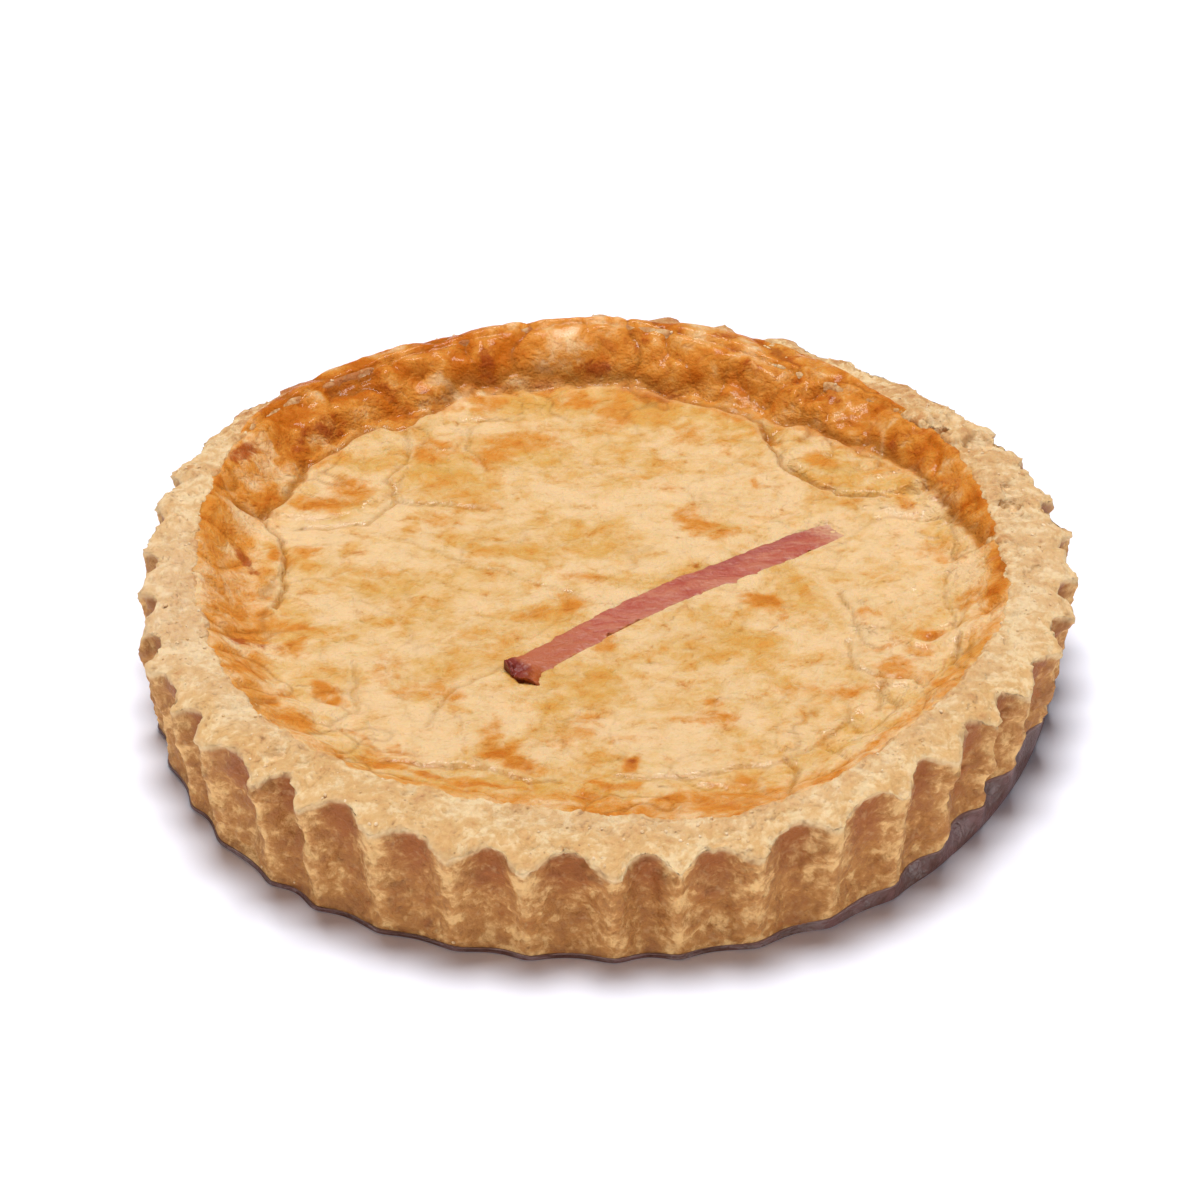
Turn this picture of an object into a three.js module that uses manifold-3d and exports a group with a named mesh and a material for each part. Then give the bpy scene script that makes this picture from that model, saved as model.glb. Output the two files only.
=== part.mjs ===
// Ham and cheese pie: a deep tart of fluted shortcrust pastry, turned out of its tin, with a baked
// filling of egg and cheese, one strip of ham lying flush in the top, and the greaseproof liner
// that the pie was baked on still wrapped round the foot of the wall.
// Millimetres, +Z up. The origin is the middle of the liner's underside, on the table.
// Angles run anticlockwise from +X; the front of the pie is towards -Y.

import * as THREE from 'three';
import { mergeVertices } from 'three/addons/utils/BufferGeometryUtils.js';
import Module from 'manifold-3d';

// ---- Driving dimensions ----------------------------------------------------------------------

const CREST_RADIUS = 120; // flute crests at the rim
const FOOT_RADIUS = 115.2; // flute crests at the foot, as the tin's wall slopes
const RIM_HEIGHT = 34; // table to the highest line of the rim
const FLUTE_COUNT = 42;
const FLUTE_DEPTH = 5; // crest to valley
const CREST_SHARPNESS = 0.35; // 0 is a knife edge, 1 a plain cosine
const FIRST_CREST = 89.6; // degrees: the crest at the back
const PIE_MIDDLE = [1.3, -2.14]; // middle of the finished outline, which is moved to the origin
const DOME_START = 106; // radius where the rim's top begins to fall away outwards
const CREST_FALL = 4.7; // how far it has fallen at a crest's tip
const FOOT_ROUND = 1.4; // rounded lower edge of the crust

const INNER_EDGE = 104.2; // radius where pastry meets filling, on average
const CAVITY_RADIUS = 99; // the hollow in the crust, at its floor
const CRUST_FLOOR = 6; // top of the pastry base, above the table

const FILLING_LEVEL = 23.6; // the flat middle of the filling
const FILLING_LIP = 0.8; // its edge lies this far below the rim
const FRONT_SLOPE = 21; // width of the slope from the flat middle up to the edge, at the front
const BACK_SLOPE = 12.5; // and at the sides and back
const BLISTER_FROM = 30; // degrees: the browned slope at the back bulges, from here on the right
const BLISTER_TO = 158; // to here on the left
const BLISTER_FADE = 26; // degrees over which the bulge fades at both ends
const BULGE_POWER = 1.7; // how full the slope bulges at the back
const HOLLOW_POWER = 1.5; // and how hollow it is elsewhere
const RIPPLE = 0.35; // height of the flat middle's slow ripple
const RIPPLE_SPREAD = [13, 17]; // mm for each radian of it, along X and Y
const RIPPLE_TURN = [0.6, -0.4];

const HAM_LENGTH = 107;
const HAM_WIDTH = 10.6;
const HAM_THICKNESS = 1.8;
const HAM_PROUD = 0.35; // how far its top stands above the cheese
const HAM_CENTRE = [19.7, -4.6];
const HAM_HEADING = 38.3; // degrees from +X
const HAM_BOW = 2.1; // sideways swing of its slight S
const HAM_BOW_LENGTH = 140; // length of one whole swing
const HAM_BOW_PEAK = -13; // where along the strip it swings furthest to the left
const HAM_CURL = 1.6; // rise of the burnt near end
const HAM_CURL_LENGTH = 9;
const HAM_END_WIDTH = 0.72; // share of its width that is left at both ends
const HAM_END_LENGTH = 7;
const HAM_ROUNDING = 0.45; // its top edges are this much lower
const HAM_FLAT = 0.6; // share of its width that is level
const HAM_RAGS = [[3.1, 0.06, 0], [1.7, 0.04, 1]]; // ragged sides, as [mm a radian, share, turn]
const BED_WIDENING = 1.1; // the bed in the cheese is clear of the ragged sides
const BED_HEADROOM = 6; // the bed's cut goes on above the cheese

const LINER_THICKNESS = 0.4;
const LINER_LIP_LOW = 1.6; // height of the liner's edge, left and back
const LINER_LIP_HIGH = 10.4; // and on the right
const LINER_HIGH_SIDE = -17; // degrees: where the edge is highest
const LINER_HIGH_SPREAD = 1.15; // more makes the high stretch shorter
const LINER_FALL = 1.5; // and this makes it fall away sooner
const LINER_SLACK = 0.55; // share of each valley that the liner spans at the table
const LINER_STANDOFF = 1.25; // it stands this far off the wall, clear of the lumps in the pastry

const GAP = 0.3; // kept between pieces that touch

// Slow unevenness, as [lobes round the pie, size, degrees of its first peak].
const OUTLINE_WAVES = [[2, 1.9, -168], [3, 1.6, 64], [4, 1.7, 178], [5, 1.1, -47], [6, 0.6, -15]];
const RIM_WAVES = [[2, 0.9, -53], [3, 1, -80], [5, 1.9, 93]];
const INNER_WAVES = [
  [1, 2.5, 120],
  [2, 4.3, -141],
  [3, 0.3, 28],
  [4, 2, 159],
  [5, 1.1, 27],
  [6, 0.6, -61],
  [7, 1.1, -125],
];
const DEPTH_WAVES = [[8, 0.12, 30], [13, 0.1, 200], [19, 0.09, 95]]; // share of a flute's depth
const LEAN_WAVES = [[9, 0.05, 40], [16, 0.05, 210], [23, 0.04, 310]]; // share of a flute's width
const FOOT_SHARE = 0.6; // how much of the outline's unevenness the foot has

// Low lumps in the crust, as [lobes round the pie, turns of its slant per mm of height, size].
const CRUST_LUMPS = [[29, 0.11, 0.22], [61, -0.17, 0.2], [97, 0.23, 0.14]];

// Browned swellings round the filling's edge, as [lobes, size, degrees, radial wave in mm].
const EDGE_SWELLINGS = [[11, 0.75, 20, 17], [17, 0.6, 75, 13], [26, 0.4, 140, 9]];
const FRONT_SWELLING = 0.5; // share of them at the front
const BACK_SWELLING = 1.3; // and at the back

// Overlapping flaps of melted cheese, as [x, y, radius, step].
const CHEESE_FLAPS = [
  [72, 62, 25, 1.0],
  [-76, 58, 27, 1.1],
  [-97, 12, 18, 0.9],
  [82, -14, 20, 0.9],
  [86, -44, 21, 0.8],
  [-70, -64, 17, 0.7],
];
const FLAP_EDGE = 2.5; // width of a flap's rounded edge
const FLAP_REACH = 16; // how soon the flap sinks into the rest behind its edge

// Where the surfaces get their rings of points.
const UNDERSIDE_RING = 0.8; // share of the foot's radius
const FLOOR_RING = 0.6; // share of the cavity's radius
const WALL_LEVELS = [0, 0.2, 0.42, 0.64, 0.84, 1]; // foot to rim
const RIM_RINGS = [0.3, 0.65]; // outer edge to inner edge
const SLOPE_RINGS = [3, 6, 9.5, 13, 16.5]; // mm in from the filling's edge
const MIDDLE_RINGS = [0.97, 0.88, 0.77, 0.64, 0.5]; // shares of the flat middle's radius
const CENTRE_RING = 0.3;
const HAM_STEPS = 30;

// ---- Small helpers ---------------------------------------------------------------------------

const radians = THREE.MathUtils.degToRad;
const { lerp, smoothstep } = THREE.MathUtils;

function waves(list, angle) {
  const wave = ([lobes, size, turn]) => size * Math.cos(lobes * angle - radians(turn));
  return list.reduce((sum, entry) => sum + wave(entry), 0);
}

// The angles of one flute's points, as shares of its width from its crest to the next.
const FLUTE_STEPS = [0, 0.1, 0.22, 0.36, 0.5, 0.64, 0.78, 0.9];
const ROUND = FLUTE_COUNT * FLUTE_STEPS.length;

function roundAngle(index) {
  const flute = Math.floor(index / FLUTE_STEPS.length);
  const step = FLUTE_STEPS[index % FLUTE_STEPS.length];
  return radians(FIRST_CREST) + ((flute + step) / FLUTE_COUNT) * 2 * Math.PI;
}

// One ring of points round the axis; place(angle) gives each point's radius and height.
function ring(count, place) {
  const stride = ROUND / count;
  return Array.from({ length: count }, (_, i) => {
    const angle = roundAngle(i * stride);
    const [radius, height] = place(angle);
    return new THREE.Vector3(radius * Math.cos(angle), radius * Math.sin(angle), height);
  });
}

const axisPoint = (height) => [new THREE.Vector3(0, 0, height)];

// A closed skin over rings that run from a point on the axis underneath, outwards and over the
// top, to a point on the axis again. Of two neighbours the larger count is a multiple of the other.
// mirrored splits the skin's quadrangles along their other diagonal, so that a skin which lies
// against another one that was built from the other end has the same facets.
function skinOverRings(rings, mirrored = false) {
  const starts = [];
  const positions = [];
  for (const points of rings) {
    starts.push(positions.length / 3);
    points.forEach((point) => positions.push(point.x, point.y, point.z));
  }
  const faces = [];
  for (let r = 0; r + 1 < rings.length; r++) {
    const [lower, upper] = [rings[r].length, rings[r + 1].length];
    const flip = lower > upper;
    const [few, many] = flip ? [upper, lower] : [lower, upper];
    const fewAt = (i) => starts[flip ? r + 1 : r] + (i % few);
    const manyAt = (i) => starts[flip ? r : r + 1] + (i % many);
    const ratio = many / few;
    const middle = mirrored ? Math.floor(ratio / 2) : Math.ceil(ratio / 2);
    const add = (a, b, c) => faces.push(...(flip ? [a, c, b] : [a, b, c]));
    for (let i = 0; i < few; i++) {
      for (let j = 0; j < ratio; j++) {
        const near = j < middle ? fewAt(i) : fewAt(i + 1);
        add(near, manyAt(i * ratio + j + 1), manyAt(i * ratio + j));
      }
      if (few > 1) add(fewAt(i), fewAt(i + 1), manyAt(i * ratio + middle));
    }
  }
  const geometry = new THREE.BufferGeometry();
  geometry.setAttribute('position', new THREE.Float32BufferAttribute(positions, 3));
  geometry.setIndex(faces);
  return geometry;
}

function material(color, roughness) {
  return new THREE.MeshStandardMaterial({ color, roughness, metalness: 0, flatShading: true });
}

// ---- The crust's shape -----------------------------------------------------------------------

// 0 on a flute's crest, 1 in its valley. Valleys are wide and round, crests narrow.
function valleyShare(angle) {
  const turn = ((angle - radians(FIRST_CREST)) * FLUTE_COUNT) / 2;
  const wave = Math.sin(turn + Math.PI * waves(LEAN_WAVES, angle));
  const rounded = Math.hypot(wave, CREST_SHARPNESS) - CREST_SHARPNESS;
  return rounded / (Math.hypot(1, CREST_SHARPNESS) - CREST_SHARPNESS);
}

function crestRadius(angle, height) {
  const up = height / RIM_HEIGHT;
  const unevenness = waves(OUTLINE_WAVES, angle) * lerp(FOOT_SHARE, 1, up);
  return lerp(FOOT_RADIUS, CREST_RADIUS, up) + unevenness;
}

function fluteDepth(angle) {
  return FLUTE_DEPTH * (1 + waves(DEPTH_WAVES, angle));
}

function lumps(angle, height) {
  const lump = ([lobes, slant, size]) => size * Math.cos(lobes * angle + slant * height * 2 * Math.PI);
  return CRUST_LUMPS.reduce((sum, entry) => sum + lump(entry), 0);
}

function wallRadius(angle, height) {
  return crestRadius(angle, height) - fluteDepth(angle) * valleyShare(angle) + lumps(angle, height);
}

function rimHeight(angle) {
  return RIM_HEIGHT + waves(RIM_WAVES, angle);
}

// The rim's top: level near the filling, falling ever faster towards the crests.
function rimTop(angle, radius) {
  const crest = crestRadius(angle, RIM_HEIGHT);
  const out = Math.max(0, (radius - DOME_START) / (crest - DOME_START));
  return rimHeight(angle) - CREST_FALL * out ** 3;
}

function innerEdge(angle) {
  return INNER_EDGE + waves(INNER_WAVES, angle);
}

function cavityRadius(angle) {
  return CAVITY_RADIUS + FOOT_SHARE * waves(OUTLINE_WAVES, angle);
}

// ---- The filling's shape ---------------------------------------------------------------------

// 1 along the back, where the browned cheese has blistered, and 0 elsewhere.
function blister(angle) {
  const degrees = THREE.MathUtils.euclideanModulo(THREE.MathUtils.radToDeg(angle) + 90, 360) - 90;
  const rise = smoothstep(degrees, BLISTER_FROM, BLISTER_FROM + BLISTER_FADE);
  return rise * (1 - smoothstep(degrees, BLISTER_TO - BLISTER_FADE, BLISTER_TO));
}

function fillingTop(x, y) {
  const angle = Math.atan2(y, x);
  const radius = Math.hypot(x, y);
  const edge = innerEdge(angle);
  const back = blister(angle);
  const slope = lerp(FRONT_SLOPE, BACK_SLOPE, smoothstep(Math.sin(angle), -0.9, 0.1));
  const up = THREE.MathUtils.clamp(1 - (edge - radius) / slope, 0, 1);
  // The back bulges like a blister, the front is a plain hollow curve.
  const bulging = 1 - (1 - up) ** BULGE_POWER;
  const hollow = up ** HOLLOW_POWER;
  const rise = (rimHeight(angle) - FILLING_LIP - FILLING_LEVEL) * lerp(hollow, bulging, back);

  const ripple = RIPPLE * Math.sin(x / RIPPLE_SPREAD[0] + RIPPLE_TURN[0])
    * Math.cos(y / RIPPLE_SPREAD[1] + RIPPLE_TURN[1]);
  const swelling = EDGE_SWELLINGS.reduce((sum, [lobes, size, turn, length]) => sum
    + size * Math.cos(lobes * angle - radians(turn)) * Math.cos((radius / length) * 2 * Math.PI), 0);
  const swellingShare = Math.sin(Math.PI * up) * lerp(FRONT_SWELLING, BACK_SWELLING, back);

  let flaps = 0;
  for (const [flapX, flapY, reach, step] of CHEESE_FLAPS) {
    const inside = reach - Math.hypot(x - flapX, y - flapY);
    const sunk = Math.exp(-Math.max(0, inside) / FLAP_REACH);
    flaps += step * smoothstep(inside, 0, FLAP_EDGE) * sunk;
  }
  return FILLING_LEVEL + rise + ripple * (1 - up) + swelling * swellingShare + flaps * (1 - up ** 4);
}

// ---- Pastry crust ----------------------------------------------------------------------------

function pastryCrust() {
  const foot = LINER_THICKNESS + GAP;
  const wallRing = (share) => ring(ROUND, (angle) => {
    const top = rimTop(angle, wallRadius(angle, RIM_HEIGHT));
    const height = lerp(foot + FOOT_ROUND, top, share);
    return [wallRadius(angle, share === 1 ? RIM_HEIGHT : height), height];
  });
  const rimRing = (count, share) => ring(count, (angle) => {
    const outer = wallRadius(angle, RIM_HEIGHT);
    const radius = lerp(outer, innerEdge(angle), share);
    return [radius, rimTop(angle, radius) + lumps(angle, radius) * Math.sin(Math.PI * share)];
  });
  return skinOverRings([
    axisPoint(foot),
    ring(FLUTE_COUNT, () => [UNDERSIDE_RING * FOOT_RADIUS, foot]),
    ring(ROUND, (angle) => [wallRadius(angle, foot) - FOOT_ROUND, foot]),
    ...WALL_LEVELS.map(wallRing),
    ...RIM_RINGS.map((share) => rimRing(ROUND / 2, share)),
    rimRing(ROUND / 4, 1),
    ring(ROUND / 4, (angle) => [cavityRadius(angle), CRUST_FLOOR]),
    ring(FLUTE_COUNT, () => [FLOOR_RING * CAVITY_RADIUS, CRUST_FLOOR]),
    axisPoint(CRUST_FLOOR),
  ]);
}

// ---- Cheese filling --------------------------------------------------------------------------

function cheeseBlock() {
  const floor = CRUST_FLOOR + GAP;
  // The filling's side lies one gap inside the cavity's sloping wall, measured level.
  const edgeRadius = (angle) => innerEdge(angle) - 2 * GAP;
  const topAt = (angle, radius) =>
    [radius, fillingTop(radius * Math.cos(angle), radius * Math.sin(angle))];
  const onTop = (count, inset) => ring(count, (angle) => topAt(angle, edgeRadius(angle) - inset));
  const shrunk = (count, share) =>
    ring(count, (angle) => topAt(angle, share * (innerEdge(angle) - FRONT_SLOPE)));
  return skinOverRings([
    axisPoint(floor),
    ring(FLUTE_COUNT, () => [FLOOR_RING * CAVITY_RADIUS, floor]),
    ring(ROUND / 4, (angle) => [cavityRadius(angle) - 2 * GAP, floor]),
    onTop(ROUND / 4, 0),
    ...SLOPE_RINGS.map((inset) => onTop(ROUND / 2, inset)),
    ...MIDDLE_RINGS.map((share) => shrunk(ROUND / 4, share)),
    shrunk(FLUTE_COUNT, CENTRE_RING),
    axisPoint(fillingTop(0, 0)),
  ], true);
}

// ---- Ham strip -------------------------------------------------------------------------------

// The strip's middle line: where it is and which way its side points, at a distance along it.
function hamLine(along) {
  const heading = radians(HAM_HEADING);
  const phase = ((along - HAM_BOW_PEAK) / HAM_BOW_LENGTH) * 2 * Math.PI;
  const aside = HAM_BOW * Math.cos(phase);
  const slant = -HAM_BOW * Math.sin(phase) * ((2 * Math.PI) / HAM_BOW_LENGTH);
  const forward = new THREE.Vector2(Math.cos(heading), Math.sin(heading));
  const left = new THREE.Vector2(-forward.y, forward.x);
  const point = new THREE.Vector2(...HAM_CENTRE);
  point.addScaledVector(forward, along).addScaledVector(left, aside);
  const side = left.clone().addScaledVector(forward, -slant).normalize();
  return { point, side };
}

// A closed strip along the ham's line; section(along) gives [aside, height above the cheese] pairs
// that run from the left side's foot over the top to the right side's foot.
function stripSolid(start, end, steps, section) {
  const positions = [];
  let corners = 0;
  for (let i = 0; i <= steps; i++) {
    const along = lerp(start, end, i / steps);
    const { point, side } = hamLine(along);
    const level = fillingTop(point.x, point.y);
    const outline = section(along);
    corners = outline.length;
    for (const [aside, height] of outline) {
      positions.push(point.x + side.x * aside, point.y + side.y * aside, level + height);
    }
  }
  const faces = [];
  for (let i = 0; i < steps; i++) {
    for (let c = 0; c < corners; c++) {
      const [a, b] = [i * corners + c, i * corners + ((c + 1) % corners)];
      faces.push(a, b, a + corners, b, b + corners, a + corners);
    }
  }
  const last = steps * corners;
  for (let c = 1; c + 1 < corners; c++) {
    faces.push(0, c + 1, c, last, last + c, last + c + 1);
  }
  const geometry = new THREE.BufferGeometry();
  geometry.setAttribute('position', new THREE.Float32BufferAttribute(positions, 3));
  geometry.setIndex(faces);
  return geometry;
}

function hamStrip() {
  const half = HAM_LENGTH / 2;
  return stripSolid(-half, half, HAM_STEPS, (along) => {
    const fromEnd = Math.min(along + half, half - along);
    const taper = lerp(HAM_END_WIDTH, 1, smoothstep(fromEnd, 0, HAM_END_LENGTH));
    const rag = ([spread, share, turn]) => share * Math.sin(along / spread + turn);
    const ragged = HAM_RAGS.reduce((sum, entry) => sum + rag(entry), 1);
    const width = (HAM_WIDTH / 2) * taper * ragged;
    const curl = HAM_CURL * (1 - smoothstep(along + half, 0, HAM_CURL_LENGTH));
    const top = HAM_PROUD + curl;
    const bottom = HAM_PROUD - HAM_THICKNESS;
    const edge = top - HAM_ROUNDING;
    const flat = HAM_FLAT * width;
    return [[width, bottom], [width, edge], [flat, top], [-flat, top], [-width, edge], [-width, bottom]];
  });
}

// The bed that the strip has sunk into, open upwards.
function hamBed() {
  const half = HAM_LENGTH / 2 + GAP;
  const width = (HAM_WIDTH / 2) * BED_WIDENING + GAP;
  const bottom = HAM_PROUD - HAM_THICKNESS - GAP;
  return stripSolid(-half, half, HAM_STEPS, () =>
    [[width, bottom], [width, BED_HEADROOM], [-width, BED_HEADROOM], [-width, bottom]]);
}

// ---- Base liner ------------------------------------------------------------------------------

function linerLip(angle) {
  const turned = angle - radians(LINER_HIGH_SIDE) + Math.PI;
  const away = THREE.MathUtils.euclideanModulo(turned, 2 * Math.PI) - Math.PI;
  const spread = Math.min(Math.abs(away) * LINER_HIGH_SPREAD, Math.PI / 2);
  return lerp(LINER_LIP_LOW, LINER_LIP_HIGH, Math.cos(spread) ** LINER_FALL);
}

// The liner hugs the flutes at its edge and spans their valleys at the table.
function linerRadius(angle, height) {
  const spanned = LINER_SLACK * (1 - height / linerLip(angle));
  const followed = (1 - Math.max(0, spanned)) * fluteDepth(angle) * valleyShare(angle);
  return crestRadius(angle, height) - followed + LINER_STANDOFF;
}

function baseLiner() {
  const count = ROUND / 2;
  const lipRing = (out) => ring(count, (angle) => {
    const lip = linerLip(angle);
    return [linerRadius(angle, lip) + out, lip];
  });
  return skinOverRings([
    axisPoint(0),
    ring(FLUTE_COUNT, () => [UNDERSIDE_RING * FOOT_RADIUS, 0]),
    ring(count, (angle) => [linerRadius(angle, 0) + LINER_THICKNESS, 0]),
    lipRing(LINER_THICKNESS),
    lipRing(0),
    ring(count, (angle) => [linerRadius(angle, LINER_THICKNESS), LINER_THICKNESS]),
    ring(FLUTE_COUNT, () => [UNDERSIDE_RING * FOOT_RADIUS, LINER_THICKNESS]),
    axisPoint(LINER_THICKNESS),
  ]);
}

// ---- Boolean cut -----------------------------------------------------------------------------

const wasm = await Module();
wasm.setup();

function asSolid(geometry) {
  const merged = mergeVertices(geometry);
  return new wasm.Manifold(new wasm.Mesh({
    numProp: 3,
    vertProperties: new Float32Array(merged.attributes.position.array),
    triVerts: new Uint32Array(merged.index.array),
  }));
}

function asGeometry(solid) {
  const mesh = solid.getMesh();
  const geometry = new THREE.BufferGeometry();
  geometry.setAttribute('position', new THREE.Float32BufferAttribute(mesh.vertProperties, 3));
  geometry.setIndex(Array.from(mesh.triVerts));
  return geometry;
}

function cheeseFilling() {
  return asGeometry(asSolid(cheeseBlock()).subtract(asSolid(hamBed())));
}

// ---- The pie ---------------------------------------------------------------------------------

const pie = new THREE.Group();

function addPiece(name, geometry, look) {
  geometry.translate(-PIE_MIDDLE[0], -PIE_MIDDLE[1], 0);
  geometry.computeVertexNormals();
  const mesh = new THREE.Mesh(geometry, look);
  mesh.name = name;
  pie.add(mesh);
}

addPiece('pastry_crust', pastryCrust(), material(0xd9a868, 0.8));
addPiece('cheese_filling', cheeseFilling(), material(0xe9bd74, 0.45));
addPiece('ham_strip', hamStrip(), material(0xc4726b, 0.5));
addPiece('base_liner', baseLiner(), material(0x6b5250, 0.4));

export default pie;
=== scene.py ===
"""Ham and cheese pie: a deep tart of fluted shortcrust pastry with a baked egg and cheese filling.

Sizes are in metres; the tables of unevenness and of places are in millimetres.
The pie stands on the floor, +Z up, with its outline's middle at the origin and its front at -Y.
Angles run anticlockwise from +X round the pie's own axis, which stands at PIE_AXIS.
"""
import itertools
import math
from functools import partial

import bpy
import numpy as np
from bpy.props import FloatProperty, FloatVectorProperty, IntProperty, PointerProperty
from mathutils import Matrix, Vector


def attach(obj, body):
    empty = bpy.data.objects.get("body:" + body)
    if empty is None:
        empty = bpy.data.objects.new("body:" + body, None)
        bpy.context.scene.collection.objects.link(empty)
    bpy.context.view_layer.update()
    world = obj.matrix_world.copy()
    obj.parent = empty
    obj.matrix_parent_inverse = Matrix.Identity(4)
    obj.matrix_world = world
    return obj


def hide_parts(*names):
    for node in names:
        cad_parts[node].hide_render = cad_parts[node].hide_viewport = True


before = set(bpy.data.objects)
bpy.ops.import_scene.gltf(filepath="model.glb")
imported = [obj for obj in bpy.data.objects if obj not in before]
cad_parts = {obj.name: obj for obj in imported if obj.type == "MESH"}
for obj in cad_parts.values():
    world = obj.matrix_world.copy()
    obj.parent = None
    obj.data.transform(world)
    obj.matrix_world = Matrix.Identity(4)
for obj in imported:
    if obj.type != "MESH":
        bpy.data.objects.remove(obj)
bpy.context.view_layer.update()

bl_info = {
    "name": "Ham and cheese pie",
    "version": (1, 0, 0),
    "blender": (4, 5, 0),
    "location": "3D View > Sidebar > Pie",
    "description": "Builds a fluted pie with a baked cheese filling, a strip of ham and its liner",
    "category": "Object",
}

MM = 0.001
PIE_AXIS = (-1.3 * MM, 2.14 * MM)

# ---- Unevenness of the pie, as (lobes round the pie, size, degrees of its first peak) ----------

OUTLINE_WAVES = ((2, 1.9, -168), (3, 1.6, 64), (4, 1.7, 178), (5, 1.1, -47), (6, 0.6, -15))
RIM_WAVES = ((2, 0.9, -53), (3, 1, -80), (5, 1.9, 93))
INNER_WAVES = (
    (1, 2.5, 120), (2, 4.3, -141), (3, 0.3, 28), (4, 2, 159), (5, 1.1, 27), (6, 0.6, -61), (7, 1.1, -125),
)
DEPTH_WAVES = ((8, 0.12, 30), (13, 0.1, 200), (19, 0.09, 95))  # share of a flute's depth
LEAN_WAVES = ((9, 0.05, 40), (16, 0.05, 210), (23, 0.04, 310))  # share of a flute's width
FOOT_SHARE = 0.6  # how much of the outline's unevenness the foot has
FOOT_SHIFT = (  # how far the foot stands out or in, as (degrees, mm)
    (-180, 0), (-150, 0), (-125, 1.2), (-90, 0.9), (-65, 0.9), (-56, 0.6), (-45, -1.0), (-20, -2.4),
    (10, -2.2), (45, -1), (80, 0), (180, 0),
)
FOOT_RISE = 0.9 * MM  # table to where the wall begins
FOOT_FLUTES = 0.3  # how deep the flutes are at the foot, as a share of their depth
EDGE_OVERLAP = 1.6 * MM  # how far filling and pastry run under each other past the inner edge
LINER_STANDOFF = 0.1 * MM  # liner's inner face to the flutes' crests
LINER_PEAK = math.radians(-17)  # where the liner stands up highest

# Degrees between which the filling begins and ends to bulge up over the rim, at the back.
BACK_BEGINS, BACK_ENDS = (30, 56), (132, 158)

# Browned swellings round the filling's edge, as (lobes, size, degrees, radial wave in mm).
EDGE_SWELLINGS = ((11, 0.75, 20, 17), (17, 0.6, 75, 13), (26, 0.4, 140, 9))

# Overlapping flaps of melted cheese, as (x, y, radius, step) about the pie's axis.
CHEESE_FLAPS = (
    (72, 62, 25, 1.0), (-76, 58, 27, 1.1), (-97, 12, 18, 0.9),
    (82, -14, 20, 0.9), (86, -44, 21, 0.8), (-70, -64, 17, 0.7),
)
SMALL_FLAPS = (
    (80, -3, 5, 0.5), (88, -7, 6, 0.5), (79, -15, 7, 0.5), (70, -36, 10, 0.7), (81, -51, 9, 0.7),
    (65, -14, 7, 0.4), (68, -3, 8, 0.4), (46, -82, 13, 0.5), (-24, -68, 9, 0.4), (61, 62, 13, 0.5),
    (77, 38, 8, 0.5), (-64, 53, 12, 0.5), (-46, 75, 9, 0.4), (-72, -44, 9, 0.5),
)

# Creases and folds in the cheese film: (depth, width, step up on the left side, points).
CREASES = (
    (0.9, 0.9, 0.9, ((72, 39), (66, 40), (60, 41.5), (55, 46), (50, 52), (46.5, 56), (45, 62), (44, 70))),
    (0.9, 1.5, -0.8, ((-52, 81), (-45, 89), (-37, 97), (-28, 99), (-14, 100), (0, 100), (10, 98),
                      (20, 92), (30, 87), (38, 81), (43, 76), (45, 68))),
    (1.0, 1.4, -1.0, ((-94, 34), (-88, 37), (-83, 44), (-78, 61), (-70, 69), (-63, 77), (-52, 81))),
    (1.0, 1.6, -1.0, ((46, 78), (55, 75), (63, 67), (71, 63), (79, 53), (84, 40), (89, 24), (94, 9))),
    (1.0, 0.8, 0.7, ((-82, -4), (-81, 3), (-81.5, 10), (-81, 17), (-83, 24), (-85, 29), (-89, 35))),
    (0.5, 0.7, 0.4, ((-78, 30), (-66, 31), (-62, 33), (-58, 39), (-55, 42), (-40, 41), (-30, 38))),
    (0.5, 0.8, -0.4, ((-55, 42), (-55, 48), (-57, 51), (-54, 56), (-52, 64), (-52, 72), (-54, 79))),
    (0.5, 0.7, -0.3, ((-36, 77), (-36, 68), (-33, 62), (-31, 56))),
    (0.5, 0.7, 0.4, ((58, -3), (60, -12), (61, -20), (63, -26), (66, -28))),
    (0.5, 0.8, 0.4, ((58.5, -25), (59, -34), (63, -39), (67, -43), (64, -46), (64.5, -51), (63, -54))),
    (0.8, 1.0, 0.8, ((84, -30), (82, -38), (79, -43), (75, -50), (73, -44), (68, -43))),
    (0.5, 0.8, 0.4, ((85, -24), (84, -16), (83, -8), (85, 2))),
    (0.7, 1.0, 0.6, ((41, -71), (42.5, -77), (42, -85), (41, -93))),
    (0.4, 0.9, 0.5, ((2, -77), (12, -79), (24, -78), (31, -74.5), (40, -73), (50, -66), (56, -58))),
    (0.5, 0.8, 0.5, ((-53, -72), (-44, -72.5), (-33, -73), (-27, -75), (-20, -78), (-12, -80))),
    (0.4, 0.7, 0.2, ((-24, -31), (-32, -37), (-38, -43), (-42, -50), (-44, -56))),
    (0.4, 0.7, -0.3, ((-62, -29), (-61, -40), (-60.5, -47), (-64, -54), (-66, -57), (-72, -55))),
    (0.4, 0.7, 0.2, ((-64, -57), (-60, -61), (-53, -66), (-46, -69))),
    (0.25, 0.5, 0.3, ((-57, 27), (-50, 23), (-44, 19), (-36, 13), (-28, 10), (-20, 5), (-10, 0), (-3, -6))),
    (0.3, 0.5, 0.1, ((45, -9), (49, -12), (54, -17))),
    (1.0, 1.2, -0.5, ((50, -90), (58, -85), (65, -79), (72, -72))),
)

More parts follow.
